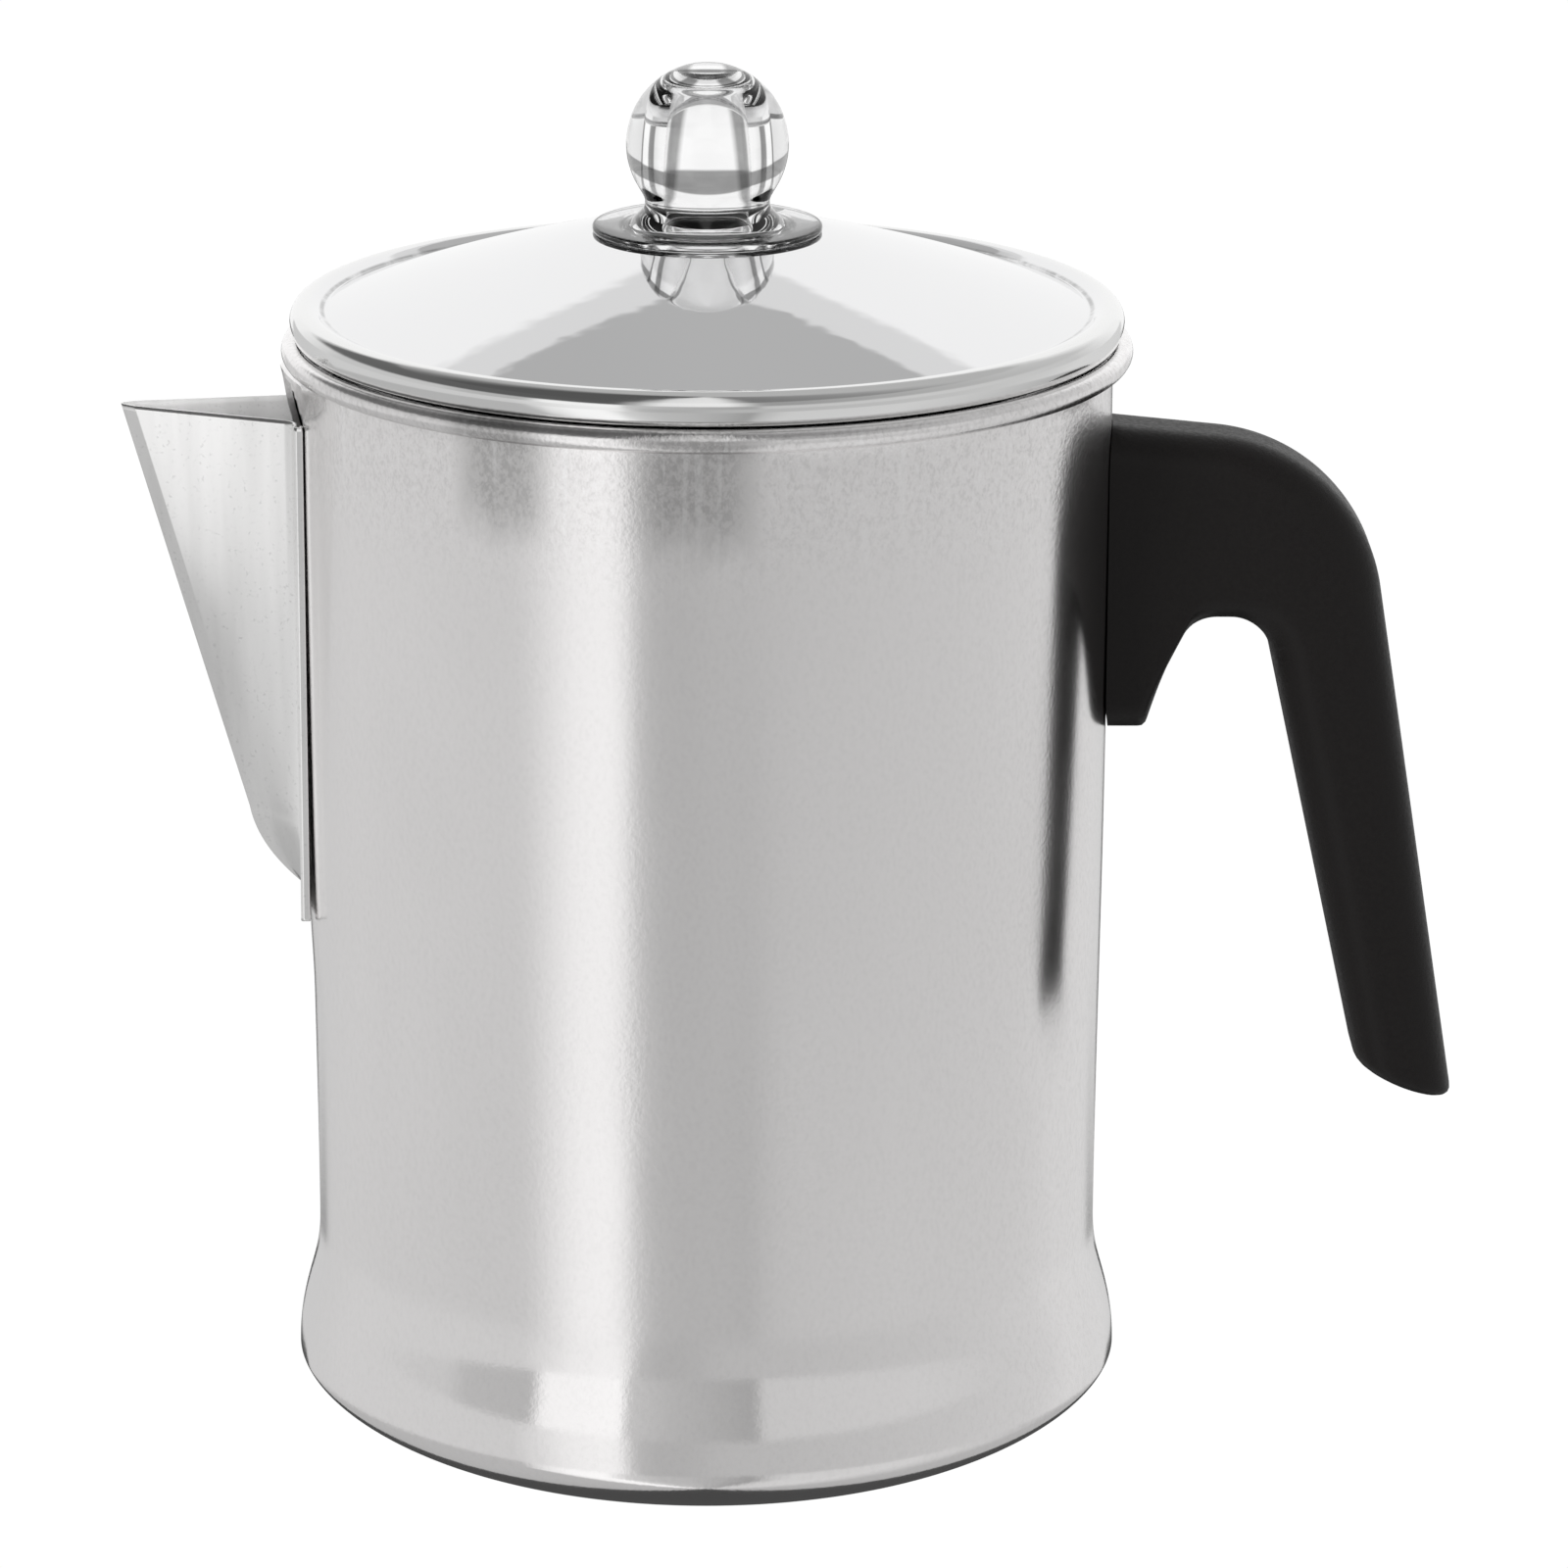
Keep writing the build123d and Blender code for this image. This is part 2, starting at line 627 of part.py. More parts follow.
def make_basket_sleeve():
    """Centre tube with a flange under the basket's floor and a small flare over it."""
    tube = ring(SLEEVE_R, SLEEVE_BORE_R, SLEEVE_LOW_Z, SLEEVE_TOP_Z)
    flange = ring(SLEEVE_FLANGE_R, SLEEVE_BORE_R, SLEEVE_LOW_Z, BASKET_LOW_Z - FIT_GAP)
    over_z = BASKET_LOW_Z + BASKET_SHEET + FIT_GAP
    flare = ring(SLEEVE_R + SLEEVE_FLARE, SLEEVE_BORE_R, over_z, over_z + SLEEVE_FLARE)
    return tube + flange + flare


def make_spreader():
    """Perforated cover with a skirt inside the basket and a raised collar for the tube."""
    top = SPREADER_Z + BASKET_SHEET
    disc = ring(SPREADER_R, SPREADER_HOLE_R, SPREADER_Z, top)
    skirt = ring(SPREADER_SKIRT_R, SPREADER_SKIRT_R - BASKET_SHEET, SPREADER_SKIRT_LOW_Z, top)
    collar = ring(SPREADER_COLLAR_R, SPREADER_HOLE_R, SPREADER_Z, SPREADER_COLLAR_TOP_Z)
    cover = disc + skirt + collar
    low = SPREADER_Z - BASKET_SHEET
    return cover - holes(SPREADER_HOLE_RINGS, SPREADER_PERFORATION_R, low, top + BASKET_SHEET)


NODES = {
    "pot_body": make_pot_body,
    "spout": make_spout,
    "handle": make_handle,
    "handle_screws": make_handle_screws,
    "handle_washers": make_handle_washers,
    "handle_seals": make_handle_seals,
    "handle_inserts": make_handle_inserts,
    "lid": make_lid,
    "knob": make_knob,
    "stem_tube": make_stem_tube,
    "stem_bell": make_stem_bell,
    "stem_ferrule": make_stem_ferrule,
    "stem_stop": make_stem_stop,
    "valve_plate": make_valve_plate,
    "valve_disc": make_valve_disc,
    "basket": make_basket,
    "basket_sleeve": make_basket_sleeve,
    "spreader": make_spreader,
}

os.makedirs("parts", exist_ok=True)
for node, make in NODES.items():
    export_step(make(), f"parts/{node}.step")
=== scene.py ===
import math
import bpy
from mathutils import Matrix, Vector


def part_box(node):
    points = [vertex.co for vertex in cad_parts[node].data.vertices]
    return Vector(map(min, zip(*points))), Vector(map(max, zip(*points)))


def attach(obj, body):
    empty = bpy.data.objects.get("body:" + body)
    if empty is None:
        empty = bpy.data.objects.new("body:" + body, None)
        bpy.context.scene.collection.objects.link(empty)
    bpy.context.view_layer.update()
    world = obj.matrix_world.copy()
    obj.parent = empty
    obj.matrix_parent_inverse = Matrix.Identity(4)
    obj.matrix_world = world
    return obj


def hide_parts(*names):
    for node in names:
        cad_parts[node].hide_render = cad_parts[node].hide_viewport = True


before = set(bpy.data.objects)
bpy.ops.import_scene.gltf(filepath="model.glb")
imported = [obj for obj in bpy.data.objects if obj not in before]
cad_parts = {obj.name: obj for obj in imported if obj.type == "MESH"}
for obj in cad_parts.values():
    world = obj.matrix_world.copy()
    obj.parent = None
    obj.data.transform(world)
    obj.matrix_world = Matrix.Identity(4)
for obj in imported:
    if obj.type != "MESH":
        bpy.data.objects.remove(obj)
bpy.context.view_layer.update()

# Coffee percolator. Metres, +Z up, handle along +X, spout along -X.
# Most heights and radii below hang on the CAD boxes; the handle's side view does not.
MM = 0.001
AROUND = 360                      # segments round the lid
HALF_COLUMNS = (10, 36, 150)      # segments round half the pot: window, seam, rest


# ---- where the CAD nodes are ----
_, pot_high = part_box("pot_body")
lid_low, lid_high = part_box("lid")
knob_low, knob_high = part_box("knob")
spout_low, spout_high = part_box("spout")
_, handle_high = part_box("handle")

# ---- pot ----
SHEET = 1.0 * MM
FLOOR = 1.5 * MM
BEAD_R = 1.75 * MM                # section of the rolled rim
BEAD_CENTRE_R = pot_high.y - BEAD_R
BEAD_Z = pot_high.z - BEAD_R
WALL_R = BEAD_CENTRE_R - 1.23 * MM
WALL_TOP_Z = BEAD_Z - 3.1 * MM
MID_R = WALL_R - 0.25 * MM
MID_Z = 100 * MM
WAIST_R = WALL_R - 0.89 * MM
WAIST_Z = 30.9 * MM
FOOT_R = WALL_R + 2.43 * MM
FOOT_Z = 10 * MM
FOOT_POWER = 1.5
BASE_R = FOOT_R - 18 * MM
HUB_R = 0.5 * MM                  # small disc that closes the base's middle

# ---- spout and its seams ----
TIP_X = spout_low.x
TIP_Z = spout_high.z
KEEL_X = TIP_X + 18.3 * MM
KEEL_Z = TIP_Z - 63.1 * MM
SPOUT_RIM_Z = TIP_Z - 0.7 * MM
SEAM_LOW_Z = spout_low.z
SPOUT_SHEET = 0.5 * MM
SIDE_FOOT_X = -WALL_R - 0.95 * MM
SIDE_FOOT_HALF = 8.6 * MM
HEM_HALF = spout_high.y
HEM_FRONT_X = -WALL_R - 0.7 * MM
HEM_BACK_X = -WALL_R + 0.72 * MM
WINDOW_HALF = HEM_HALF - 1.45 * MM
WINDOW_LOW_Z = SEAM_LOW_Z + 6.8 * MM
WINDOW_TOP_Z = WALL_TOP_Z - 0.6 * MM
WINDOW_TAPER = 0.65               # how fast it narrows above the spout's rim
FLARE = 0.45 * MM                 # how far the wall stands out beside the seam
EAR_FOLD = 0.30                   # slope of the corner bent out above each seam
# Patches of painted shade under the rim.
RIM_SHADE_AT = ((-29, 9), (-2, 11))  # degrees from the front: middle and half width of each patch

# ---- lid ----
LID_SHEET = 0.8 * MM
LID_HOLE_R = 13.3 * MM
SEAT_R = 18 * MM                   # flat seat of the knob, then a small bend into the cone
SEAT_BEND = 0.8 * MM
SEAT_DROP = 0.19 * MM
SHOULDER_ROUND = 2.5 * MM
SHOULDER_R = lid_high.x - SHOULDER_ROUND
SHOULDER_Z = lid_high.z - 13.0 * MM
VALLEY_R = SHOULDER_R - 2.6 * MM   # groove where the cone meets the rounded shoulder
VALLEY_Z = lid_high.z - 11.6 * MM
CONE_SLOPES = (13.3, 19.5)         # degrees, at the seat and at the groove
LID_REST_Z = BEAD_Z + BEAD_R + 0.25 * MM
PLUG_R = WALL_R - SHEET - 0.32 * MM
TUCK_R = lid_high.x - 0.9 * MM
LUG_TURN = 60
NOTCH_HALF = 4.6 * MM
NOTCH_R = 16.2 * MM


def ease(value, start, end):
    """0 before start, 1 after end, smooth between."""
    share = min(max((value - start) / (end - start), 0), 1)
    return share * share * (3 - 2 * share)


def lerp(a, b, share):
    return a + (b - a) * share


def line(start, end, steps):
    """Points from start up to, but not including, end."""
    return [tuple(lerp(a, b, i / steps) for a, b in zip(start, end)) for i in range(steps)]


def arc(centre, radius, start_deg, end_deg, steps):
    """Points on a circle, both ends included."""
    points = []
    for i in range(steps + 1):
        angle = math.radians(lerp(start_deg, end_deg, i / steps))
        points.append((centre[0] + radius * math.cos(angle), centre[1] + radius * math.sin(angle)))
    return points


def hermite(start, end, start_tangent, end_tangent, steps):
    """Cubic from start up to, but not including, end."""
    points = []
    for i in range(steps):
        t = i / steps
        a = 2 * t**3 - 3 * t**2 + 1
        b = t**3 - 2 * t**2 + t
        c = 3 * t**2 - 2 * t**3
        d = t**3 - t**2
        parts = zip(start, start_tangent, end, end_tangent)
        points.append(tuple(a * p + b * m + c * q + d * n for p, m, q, n in parts))
    return points


def corner_arc(before, corner, after):
    """Ends and centre of the arc that rounds a corner (x, y, radius), and the angle it turns."""
    here = Vector(corner[:2])
    back = (Vector(before[:2]) - here).normalized()
    ahead = (Vector(after[:2]) - here).normalized()
    half = max(back.angle(ahead) / 2, 0.01)
    reach = corner[2] / math.tan(half)
    centre = here + (back + ahead).normalized() * corner[2] / math.sin(half)
    begin = here + back * reach
    finish = here + ahead * reach
    return begin, finish, centre, -(begin - centre).angle_signed(finish - centre)


def rounded(corners, step=0.6 * MM):
    """Polyline through corners given as (x, z, radius), with the corners turned into arcs."""
    points = [Vector(corners[0][:2])]
    for before, corner, after in zip(corners, corners[1:], corners[2:]):
        begin, _, centre, turn = corner_arc(before, corner, after)
        count = max(3, math.ceil(abs(turn) * corner[2] / step))
        for i in range(count + 1):
            points.append(centre + Matrix.Rotation(turn * i / count, 2) @ (begin - centre))
    points.append(Vector(corners[-1][:2]))
    return points


# ---- making pieces ----
def make_piece(name, verts, faces, body, replaced, material, sharp_deg=32):
    mesh = bpy.data.meshes.new(name)
    mesh.from_pydata([tuple(v) for v in verts], [], faces)
    mesh.validate()
    mesh.shade_smooth()
    mesh.set_sharp_from_angle(angle=math.radians(sharp_deg))
    mesh.materials.append(material)
    piece = bpy.data.objects.new(name, mesh)
    bpy.context.scene.collection.objects.link(piece)
    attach(piece, body)
    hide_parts(*replaced)
    return piece


def grid_faces(rows, columns, wrap_rows, wrap_columns, keep=None):
    """Quads of a grid whose point (row, column) has the index row * columns + column."""
    faces = []
    for row in range(rows if wrap_rows else rows - 1):
        for column in range(columns if wrap_columns else columns - 1):
            if keep and not keep(row, column):
                continue
            next_row = (row + 1) % rows
            next_column = (column + 1) % columns
            faces.append((
                row * columns + column,
                row * columns + next_column,
                next_row * columns + next_column,
                next_row * columns + column,
            ))
    return faces


def cap(row, columns, flipped=False):
    """One face over a whole row of such a grid."""
    face = range(row * columns, (row + 1) * columns)
    return tuple(reversed(face) if flipped else face)


def turned(profile, angles):
    """Points of a profile of (radius, height) turned about Z, row by row."""
    return [(r * math.cos(a), r * math.sin(a), z) for r, z in profile for a in angles]


def even_angles(count=AROUND):
    return [2 * math.pi * i / count for i in range(count)]


# ---- node trees ----
class Graph:
    """Short-hand for building a node tree."""

    def __init__(self, tree):
        self.tree = tree
        self.tree.nodes.clear()

    def add(self, kind, **settings):
        node = self.tree.nodes.new(kind)
        for key, value in settings.items():
            setattr(node, key, value)
        return node

    def link(self, source, target):
        self.tree.links.new(source, target)

    def fill(self, socket, value):
        if isinstance(value, (int, float, tuple)):
            socket.default_value = value
        else:
            self.link(value, socket)

    def math(self, operation, first, second=0.0):
        node = self.add("ShaderNodeMath", operation=operation)
        self.fill(node.inputs[0], first)
        self.fill(node.inputs[1], second)
        return node.outputs[0]

    def times(self, first, *others):
        for other in others:
            first = self.math("MULTIPLY", first, other)
        return first

    def remap(self, value, low, high, to_low=0.0, to_high=1.0):
        node = self.add("ShaderNodeMapRange", interpolation_type="SMOOTHSTEP")
        self.fill(node.inputs["Value"], value)
        ends = (("From Min", low), ("From Max", high), ("To Min", to_low), ("To Max", to_high))
        for key, number in ends:
            self.fill(node.inputs[key], number)
        return node.outputs["Result"]

    def split(self, vector):
        node = self.add("ShaderNodeSeparateXYZ")
        self.link(vector, node.inputs[0])
        return node.outputs

    def azimuth(self, x, y):
        """Angle about Z: 0 towards -Y, a quarter turn at +X."""
        return self.math("ARCTAN2", x, self.math("MULTIPLY", y, -1.0))


# ---- materials ----
class Nodes(Graph):
    """Tree of a material with one Principled shader."""

    def __init__(self, name):
        self.material = bpy.data.materials.new(name)
        self.material.use_nodes = True
        super().__init__(self.material.node_tree)
        self.shader = self.add("ShaderNodeBsdfPrincipled")
        output = self.add("ShaderNodeOutputMaterial")
        self.link(self.shader.outputs[0], output.inputs[0])
        self.place = self.add("ShaderNodeTexCoord").outputs["Object"]

    def set(self, **values):
        for key, value in values.items():
            self.shader.inputs[key.replace("_", " ")].default_value = value

    def drive(self, **sources):
        for key, source in sources.items():
            self.link(source, self.shader.inputs[key.replace("_", " ")])

    def mix(self, share, first, second):
        """Colour mix; its two colours are sockets 6 and 7."""
        node = self.add("ShaderNodeMix", data_type="RGBA")
        self.fill(node.inputs[0], share)
        self.fill(node.inputs[6], first)
        self.fill(node.inputs[7], second)
        return node.outputs[2]

    def scaled(self, scale, turn=(0, 0, 0), vector=None):
        node = self.add("ShaderNodeMapping")
        node.inputs["Scale"].default_value = scale
        node.inputs["Rotation"].default_value = turn
        self.link(vector or self.place, node.inputs["Vector"])
        return node.outputs[0]

    def noise(self, scale, vector=None, detail=3.0, roughness=0.55):
        node = self.add("ShaderNodeTexNoise")
        self.link(vector or self.place, node.inputs["Vector"])
        node.inputs["Scale"].default_value = scale
        node.inputs["Detail"].default_value = detail
        node.inputs["Roughness"].default_value = roughness
        return node.outputs[0]

    def joined(self, x, y, z):
        node = self.add("ShaderNodeCombineXYZ")
        for socket, value in zip(node.inputs, (x, y, z)):
            self.fill(socket, value)
        return node.outputs[0]

    def polar(self):
        """Place unrolled about Z: (arc length at the wall, height, radius)."""
        x, y, z = self.split(self.place)
        angle = self.math("ARCTAN2", y, x)
        radius = self.math("SQRT", self.math("ADD", self.times(x, x), self.times(y, y)))
        return self.joined(self.times(angle, WALL_R), z, radius)

    def bump(self, height, strength, distance):
        node = self.add("ShaderNodeBump")
        self.fill(node.inputs["Strength"], strength)
        node.inputs["Distance"].default_value = distance
        self.link(height, node.inputs["Height"])
        return node.outputs[0]

    def near(self, value, middle, outer, inner=0.0):
        """1 within inner of middle, 0 beyond outer."""
        off = self.math("ABSOLUTE", self.math("SUBTRACT", value, middle))
        return self.remap(off, outer, inner)


def flecked(m, colour, fleck, worn):
    """Fine dark and light grain."""
    dark = m.times(m.remap(fleck, 0.52, 0.36), m.times(worn, 0.35))
    light = m.times(m.remap(fleck, 0.52, 0.68), m.times(worn, 0.5))
    colour = m.mix(dark, colour, (0.55, 0.545, 0.54, 1))
    return m.mix(light, colour, (1, 1, 1, 1))


def painted_rim_shade(m, colour, unrolled, angle, height, fleck):
    """Two patches of painted shade under the rim, either side of the wall's bright streak; the grain
    breaks them up.
    """
    ragged = m.noise(150, m.scaled((1, 0.45, 1), (0, 0, 0.25), unrolled), detail=6, roughness=0.8)
    patches = 0.0
    for middle, half in RIM_SHADE_AT:
        near = m.near(angle, math.radians(middle), math.radians(half), math.radians(0.3 * half))
        patches = m.math("ADD", near, patches)
    edge = m.math("ADD", height, m.times(ragged, 16 * MM))
    band = m.remap(edge, WALL_TOP_Z - 9 * MM, WALL_TOP_Z + 2 * MM)
    patches = m.times(patches, band, m.remap(fleck, 0.35, 0.6, 0.45, 1.0))
    return m.mix(m.times(patches, 0.8), colour, (0.42, 0.415, 0.41, 1))


def scratched(m, colour, unrolled, rim):
    """Fine bright scratches in two directions, under the rim."""
    for turn, share in ((0.65, 0.35), (-0.5, 0.2)):
        lines = m.noise(420, m.scaled((1, 0.03, 1), (0, 0, turn), unrolled), detail=1)
        scratch = m.times(m.remap(lines, 0.66, 0.72), m.times(rim, share))
        colour = m.mix(scratch, colour, (1, 1, 1, 1))
    return colour


def satin_wall():
    """Drawn aluminium: soft mirror with fine grain, worn and scratched under the rim, with painted
    shade patches there, crisper on the foot.
    """
    m = Nodes("satin_aluminium")
    m.set(Metallic=1.0, Anisotropic=0.6, Anisotropic_Rotation=0.25)
    tangent = m.add("ShaderNodeTangent", direction_type="RADIAL", axis="Z")
    m.drive(Tangent=tangent.outputs[0])
    unrolled = m.polar()
    x, y, z = m.split(m.place)
    angle = m.azimuth(x, y)
    rim = m.remap(z, WALL_TOP_Z - 24 * MM, WALL_TOP_Z - 3 * MM)
    patch = m.noise(34, m.scaled((1, 0.6, 1), vector=unrolled))
    speckle = m.noise(1300, detail=2, roughness=0.6)
    grain = m.math("ADD", m.remap(patch, 0.35, 0.75, 0.25, 0.8), m.times(rim, 0.5))
    cloud = m.noise(18, m.scaled((1, 0.4, 1), vector=unrolled), detail=4)
    colour = m.mix(cloud, (0.885, 0.868, 0.866, 1), (0.915, 0.9, 0.898, 1))
    handle_side = m.remap(angle, math.radians(20), math.radians(75))
    worn = m.math("ADD", 0.2, m.math("ADD", m.times(rim, 0.6), m.times(handle_side, 0.25)))
    fleck = m.noise(1300, m.scaled((1, 0.7, 1), (0, 0, 0.6), unrolled), detail=4, roughness=0.75)
    colour = flecked(m, colour, fleck, worn)
    # Painted shade: two dark patches under the rim.
    colour = painted_rim_shade(m, colour, unrolled, angle, z, fleck)
    colour = scratched(m, colour, unrolled, rim)
    foot = m.remap(z, WAIST_Z + 2 * MM, FOOT_Z + 14 * MM, 1.0, 0.5)
    roughness = m.times(m.remap(patch, 0.3, 0.7, 0.17, 0.22), foot)
    m.drive(Base_Color=colour, Roughness=roughness, Normal=m.bump(speckle, grain, 0.03 * MM))
    return m.material


def spout_skin(name, metallic, roughness):
    """Folded sheet with soft bands down it; the inside is duller."""
    m = Nodes(name)
    m.set(Metallic=metallic, Roughness=roughness)
    bands = m.noise(130, m.scaled((1, 1, 0.08), (0, 0.12, 0)))
    colour = m.mix(m.remap(bands, 0.3, 0.7), (0.85, 0.845, 0.84, 1), (1.0, 0.995, 0.99, 1))
    fleck = m.noise(1300, roughness=0.7)
    colour = m.mix(m.remap(fleck, 0.42, 0.3, 0.0, 0.25), colour, (0.4, 0.4, 0.4, 1))
    m.drive(Base_Color=colour)
    return m.material


def polished_lid():
    """Polished cone, satin skirt, painted shade in the groove between them."""
    m = Nodes("polished_aluminium")
    m.set(Metallic=1.0)
    radius = m.split(m.polar())[2]
    skirt = m.remap(radius, SHOULDER_R - 1.2 * MM, SHOULDER_R + 0.2 * MM)
    colour = m.mix(skirt, (0.85, 0.85, 0.855, 1), (0.86, 0.86, 0.855, 1))
    broken = m.remap(m.noise(160, detail=4, roughness=0.7), 0.35, 0.6, 0.15, 0.65)
    # Painted shade along the groove, broken up by noise.
    groove_shade = m.times(m.near(radius, VALLEY_R + 0.25 * MM, 0.5 * MM, 0.1 * MM), broken)
    colour = m.mix(groove_shade, colour, (0.2, 0.2, 0.2, 1))
    waves = m.bump(m.noise(110, detail=2), 0.35, 0.12 * MM)
    m.drive(Base_Color=colour, Roughness=m.remap(skirt, 0, 1, 0.03, 0.1), Normal=waves)
    return m.material


def drawn_metal(name, colour, roughness):
    m = Nodes(name)
    m.set(Metallic=1.0)
    cloud = m.noise(900, detail=2)
    dark = tuple(0.86 * c for c in colour) + (1,)
    shine = m.remap(cloud, 0.25, 0.75, roughness - 0.05, roughness + 0.05)
    skin = m.bump(cloud, 0.1, 0.05 * MM)
    m.drive(Base_Color=m.mix(cloud, dark, colour + (1,)), Roughness=shine, Normal=skin)
    return m.material


def black_phenolic():
    m = Nodes("black_phenolic")
    m.set(IOR=1.45, Specular_IOR_Level=0.22)
    grain = m.noise(1400, detail=2)
    colour = m.mix(grain, (0.006, 0.005, 0.005, 1), (0.010, 0.009, 0.0085, 1))
    shine = m.remap(grain, 0.2, 0.8, 0.36, 0.5)
    m.drive(Base_Color=colour, Roughness=shine, Normal=m.bump(grain, 0.45, 0.12 * MM))
    return m.material


def clear_glass():
    m = Nodes("clear_glass")
    m.set(Transmission_Weight=1.0, Roughness=0.0, IOR=1.5, Base_Color=(1, 1, 1, 1))
    m.drive(Normal=m.bump(m.noise(90, detail=1), 0.05, 0.3 * MM))
    return m.material


def red_fibre():
    m = Nodes("fibre_seal")
    m.set(Roughness=0.85)
    fibre = m.noise(2600)
    colour = m.mix(fibre, (0.24, 0.07, 0.05, 1), (0.42, 0.13, 0.09, 1))
    m.drive(Base_Color=colour, Normal=m.bump(fibre, 0.4, 0.1 * MM))
    return m.material


SATIN = satin_wall()
FOLDED = spout_skin("folded_aluminium", 1.0, 0.2)
FOLDED_INSIDE = spout_skin("folded_aluminium_inside", 0.25, 0.5)
POLISHED = polished_lid()
PHENOLIC = black_phenolic()
GLASS_CLEAR = clear_glass()
DRAWN = drawn_metal("drawn_aluminium", (0.80, 0.80, 0.805), 0.36)
STEEL = drawn_metal("zinc_steel", (0.66, 0.67, 0.69), 0.3)
BRASS = drawn_metal("brass", (0.80, 0.58, 0.26), 0.28)
FIBRE = red_fibre()


# ---- pot body ----
def pot_profile(inset):
    """Foot, waist and wall from the flat base up to the bead, as (radius, height)."""
    low = FLOOR if inset else 0.0
    reach = FOOT_R - inset - BASE_R
    points = []
    steps = 28
    for i in range(steps):
        angle = math.radians(90 * i / steps)
        across = math.sin(angle) ** (2 / FOOT_POWER)
        down = math.cos(angle) ** (2 / FOOT_POWER)
        points.append((BASE_R + reach * across, FOOT_Z - (FOOT_Z - low) * down))
    neck_rise = WAIST_Z - FOOT_Z
    foot = (FOOT_R - inset, FOOT_Z)
    waist = (WAIST_R - inset, WAIST_Z)
    mid = (MID_R - inset, MID_Z)
    top = (WALL_R - inset, WALL_TOP_Z)
    slope = (WALL_R - WAIST_R) / (WALL_TOP_Z - WAIST_Z)
    low_rise = MID_Z - WAIST_Z
    high_rise = WALL_TOP_Z - MID_Z
    points += hermite(foot, waist, (0, 1.3 * neck_rise), (0, 1.3 * neck_rise), 20)
    points += hermite(waist, mid, (0, low_rise), (slope * low_rise, low_rise), 34)
    points += hermite(mid, top, (slope * high_rise, high_rise), (0, high_rise), 64)
    return points + [top]


def seam_push(y, z):
    """How far the wall stands out beside and above the spout's seams."""
    side = abs(y)
    height = ease(z, SEAM_LOW_Z - 14 * MM, SEAM_LOW_Z + 4 * MM)
    height *= ease(z, WALL_TOP_Z + 0.1 * MM, SPOUT_RIM_Z)
    push = FLARE * height * ease(side, HEM_HALF + 5.5 * MM, HEM_HALF - 0.5 * MM)
    # The ear: the wall's corner above the seam is bent out along a slanting crease.
    crease = Vector((HEM_HALF - 1 * MM, SPOUT_RIM_Z + 1.1 * MM))
    along = (Vector((HEM_HALF + 8.5 * MM, WALL_TOP_Z)) - crease).normalized()
    above = along.x * (z - crease.y) - along.y * (side - crease.x)
    return push + EAR_FOLD * max(above, 0)


def pot_angles():
    """Columns round the pot, finer beside the spout's seams."""
    edge = math.asin(WINDOW_HALF / WALL_R)
    fine = math.asin((HEM_HALF + 11 * MM) / WALL_R)
    stops = (0, edge, fine, math.pi)
    offsets = []
    for start, end, count in zip(stops, stops[1:], HALF_COLUMNS):
        offsets += [lerp(start, end, i / count) for i in range(count)]
    near = [math.pi + offset for offset in offsets]
    far = [math.pi - offset for offset in reversed(offsets[1:])]
    return near + [2 * math.pi] + [angle + 2 * math.pi for angle in far]


def pot_rings():
    """Whole section of the pot, and the rows of its outer and inner wall."""
    outside = pot_profile(0)
    inside = pot_profile(SHEET)
    bead = arc((BEAD_CENTRE_R, BEAD_Z), BEAD_R, -125, 175, 34)
    hub = [(HUB_R, 0.0), (BASE_R * 0.5, 0.0)]
    profile = hub + outside + bead + list(reversed(inside)) + [(BASE_R * 0.5, FLOOR), (HUB_R, FLOOR)]
    outer_rows = range(len(hub), len(hub) + len(outside))
    first_inside = outer_rows.stop + len(bead)
    return profile, outer_rows, range(first_inside, first_inside + len(inside))


def pot_points(profile, angles, wall_rows):
    verts = []
    for row, (r, z) in enumerate(profile):
        for angle in angles:
            x, y = r * math.cos(angle), r * math.sin(angle)
            if row in wall_rows and x < 0:
                out = r + seam_push(y, z)
                x, y = out * math.cos(angle), out * math.sin(angle)
            verts.append((x, y, z))
    return verts


def window_quads(profile, angles, wall_rows):
    """Quads inside the spout's window, each named by its lower row and first column."""
    columns = len(angles)
    quads = set()
    for row in wall_rows:
        if row + 1 not in wall_rows:
            continue
        r, z = ((a + b) / 2 for a, b in zip(profile[row], profile[row + 1]))
        half = WINDOW_HALF - WINDOW_TAPER * max(0, z - SPOUT_RIM_Z - 0.6 * MM)
        for column in range(columns):
            turn = (angles[column] + angles[(column + 1) % columns]) / 2
            inside = math.cos(turn) < 0 and abs(r * math.sin(turn)) < half
            if inside and WINDOW_LOW_Z < z < WINDOW_TOP_Z:
                quads.add((row, column))
    return quads


def window_edges(window, outer_rows, inner_rows, columns):
    """Quads that close the sheet's edge round the window."""
    faces = []
    for row, column in sorted(window):
        if row not in outer_rows:
            continue
        after = (column + 1) % columns
        low = (row, column), (row, after)
        top = (row + 1, column), (row + 1, after)
        edges = (
            ((row - 1, column), low[0], low[1]),
            ((row + 1, column), top[1], top[0]),
            ((row, (column - 1) % columns), top[0], low[0]),
            ((row, after), low[1], top[1]),
        )
        for neighbour, a, b in edges:
            if neighbour in window:
                continue
            outer = [r * columns + c for r, c in (a, b)]
            # The inner face runs the other way, from the rim down.
            inner = [(inner_rows.stop - 1 - (r - outer_rows.start)) * columns + c for r, c in (b, a)]
            faces.append(tuple(outer + inner))
    return faces


def without_loose(verts, faces):
    """Drops the points that no face uses."""
    used = sorted({index for face in faces for index in face})
    renumber = {old: new for new, old in enumerate(used)}
    verts = [verts[index] for index in used]
    return verts, [tuple(renumber[index] for index in face) for face in faces]


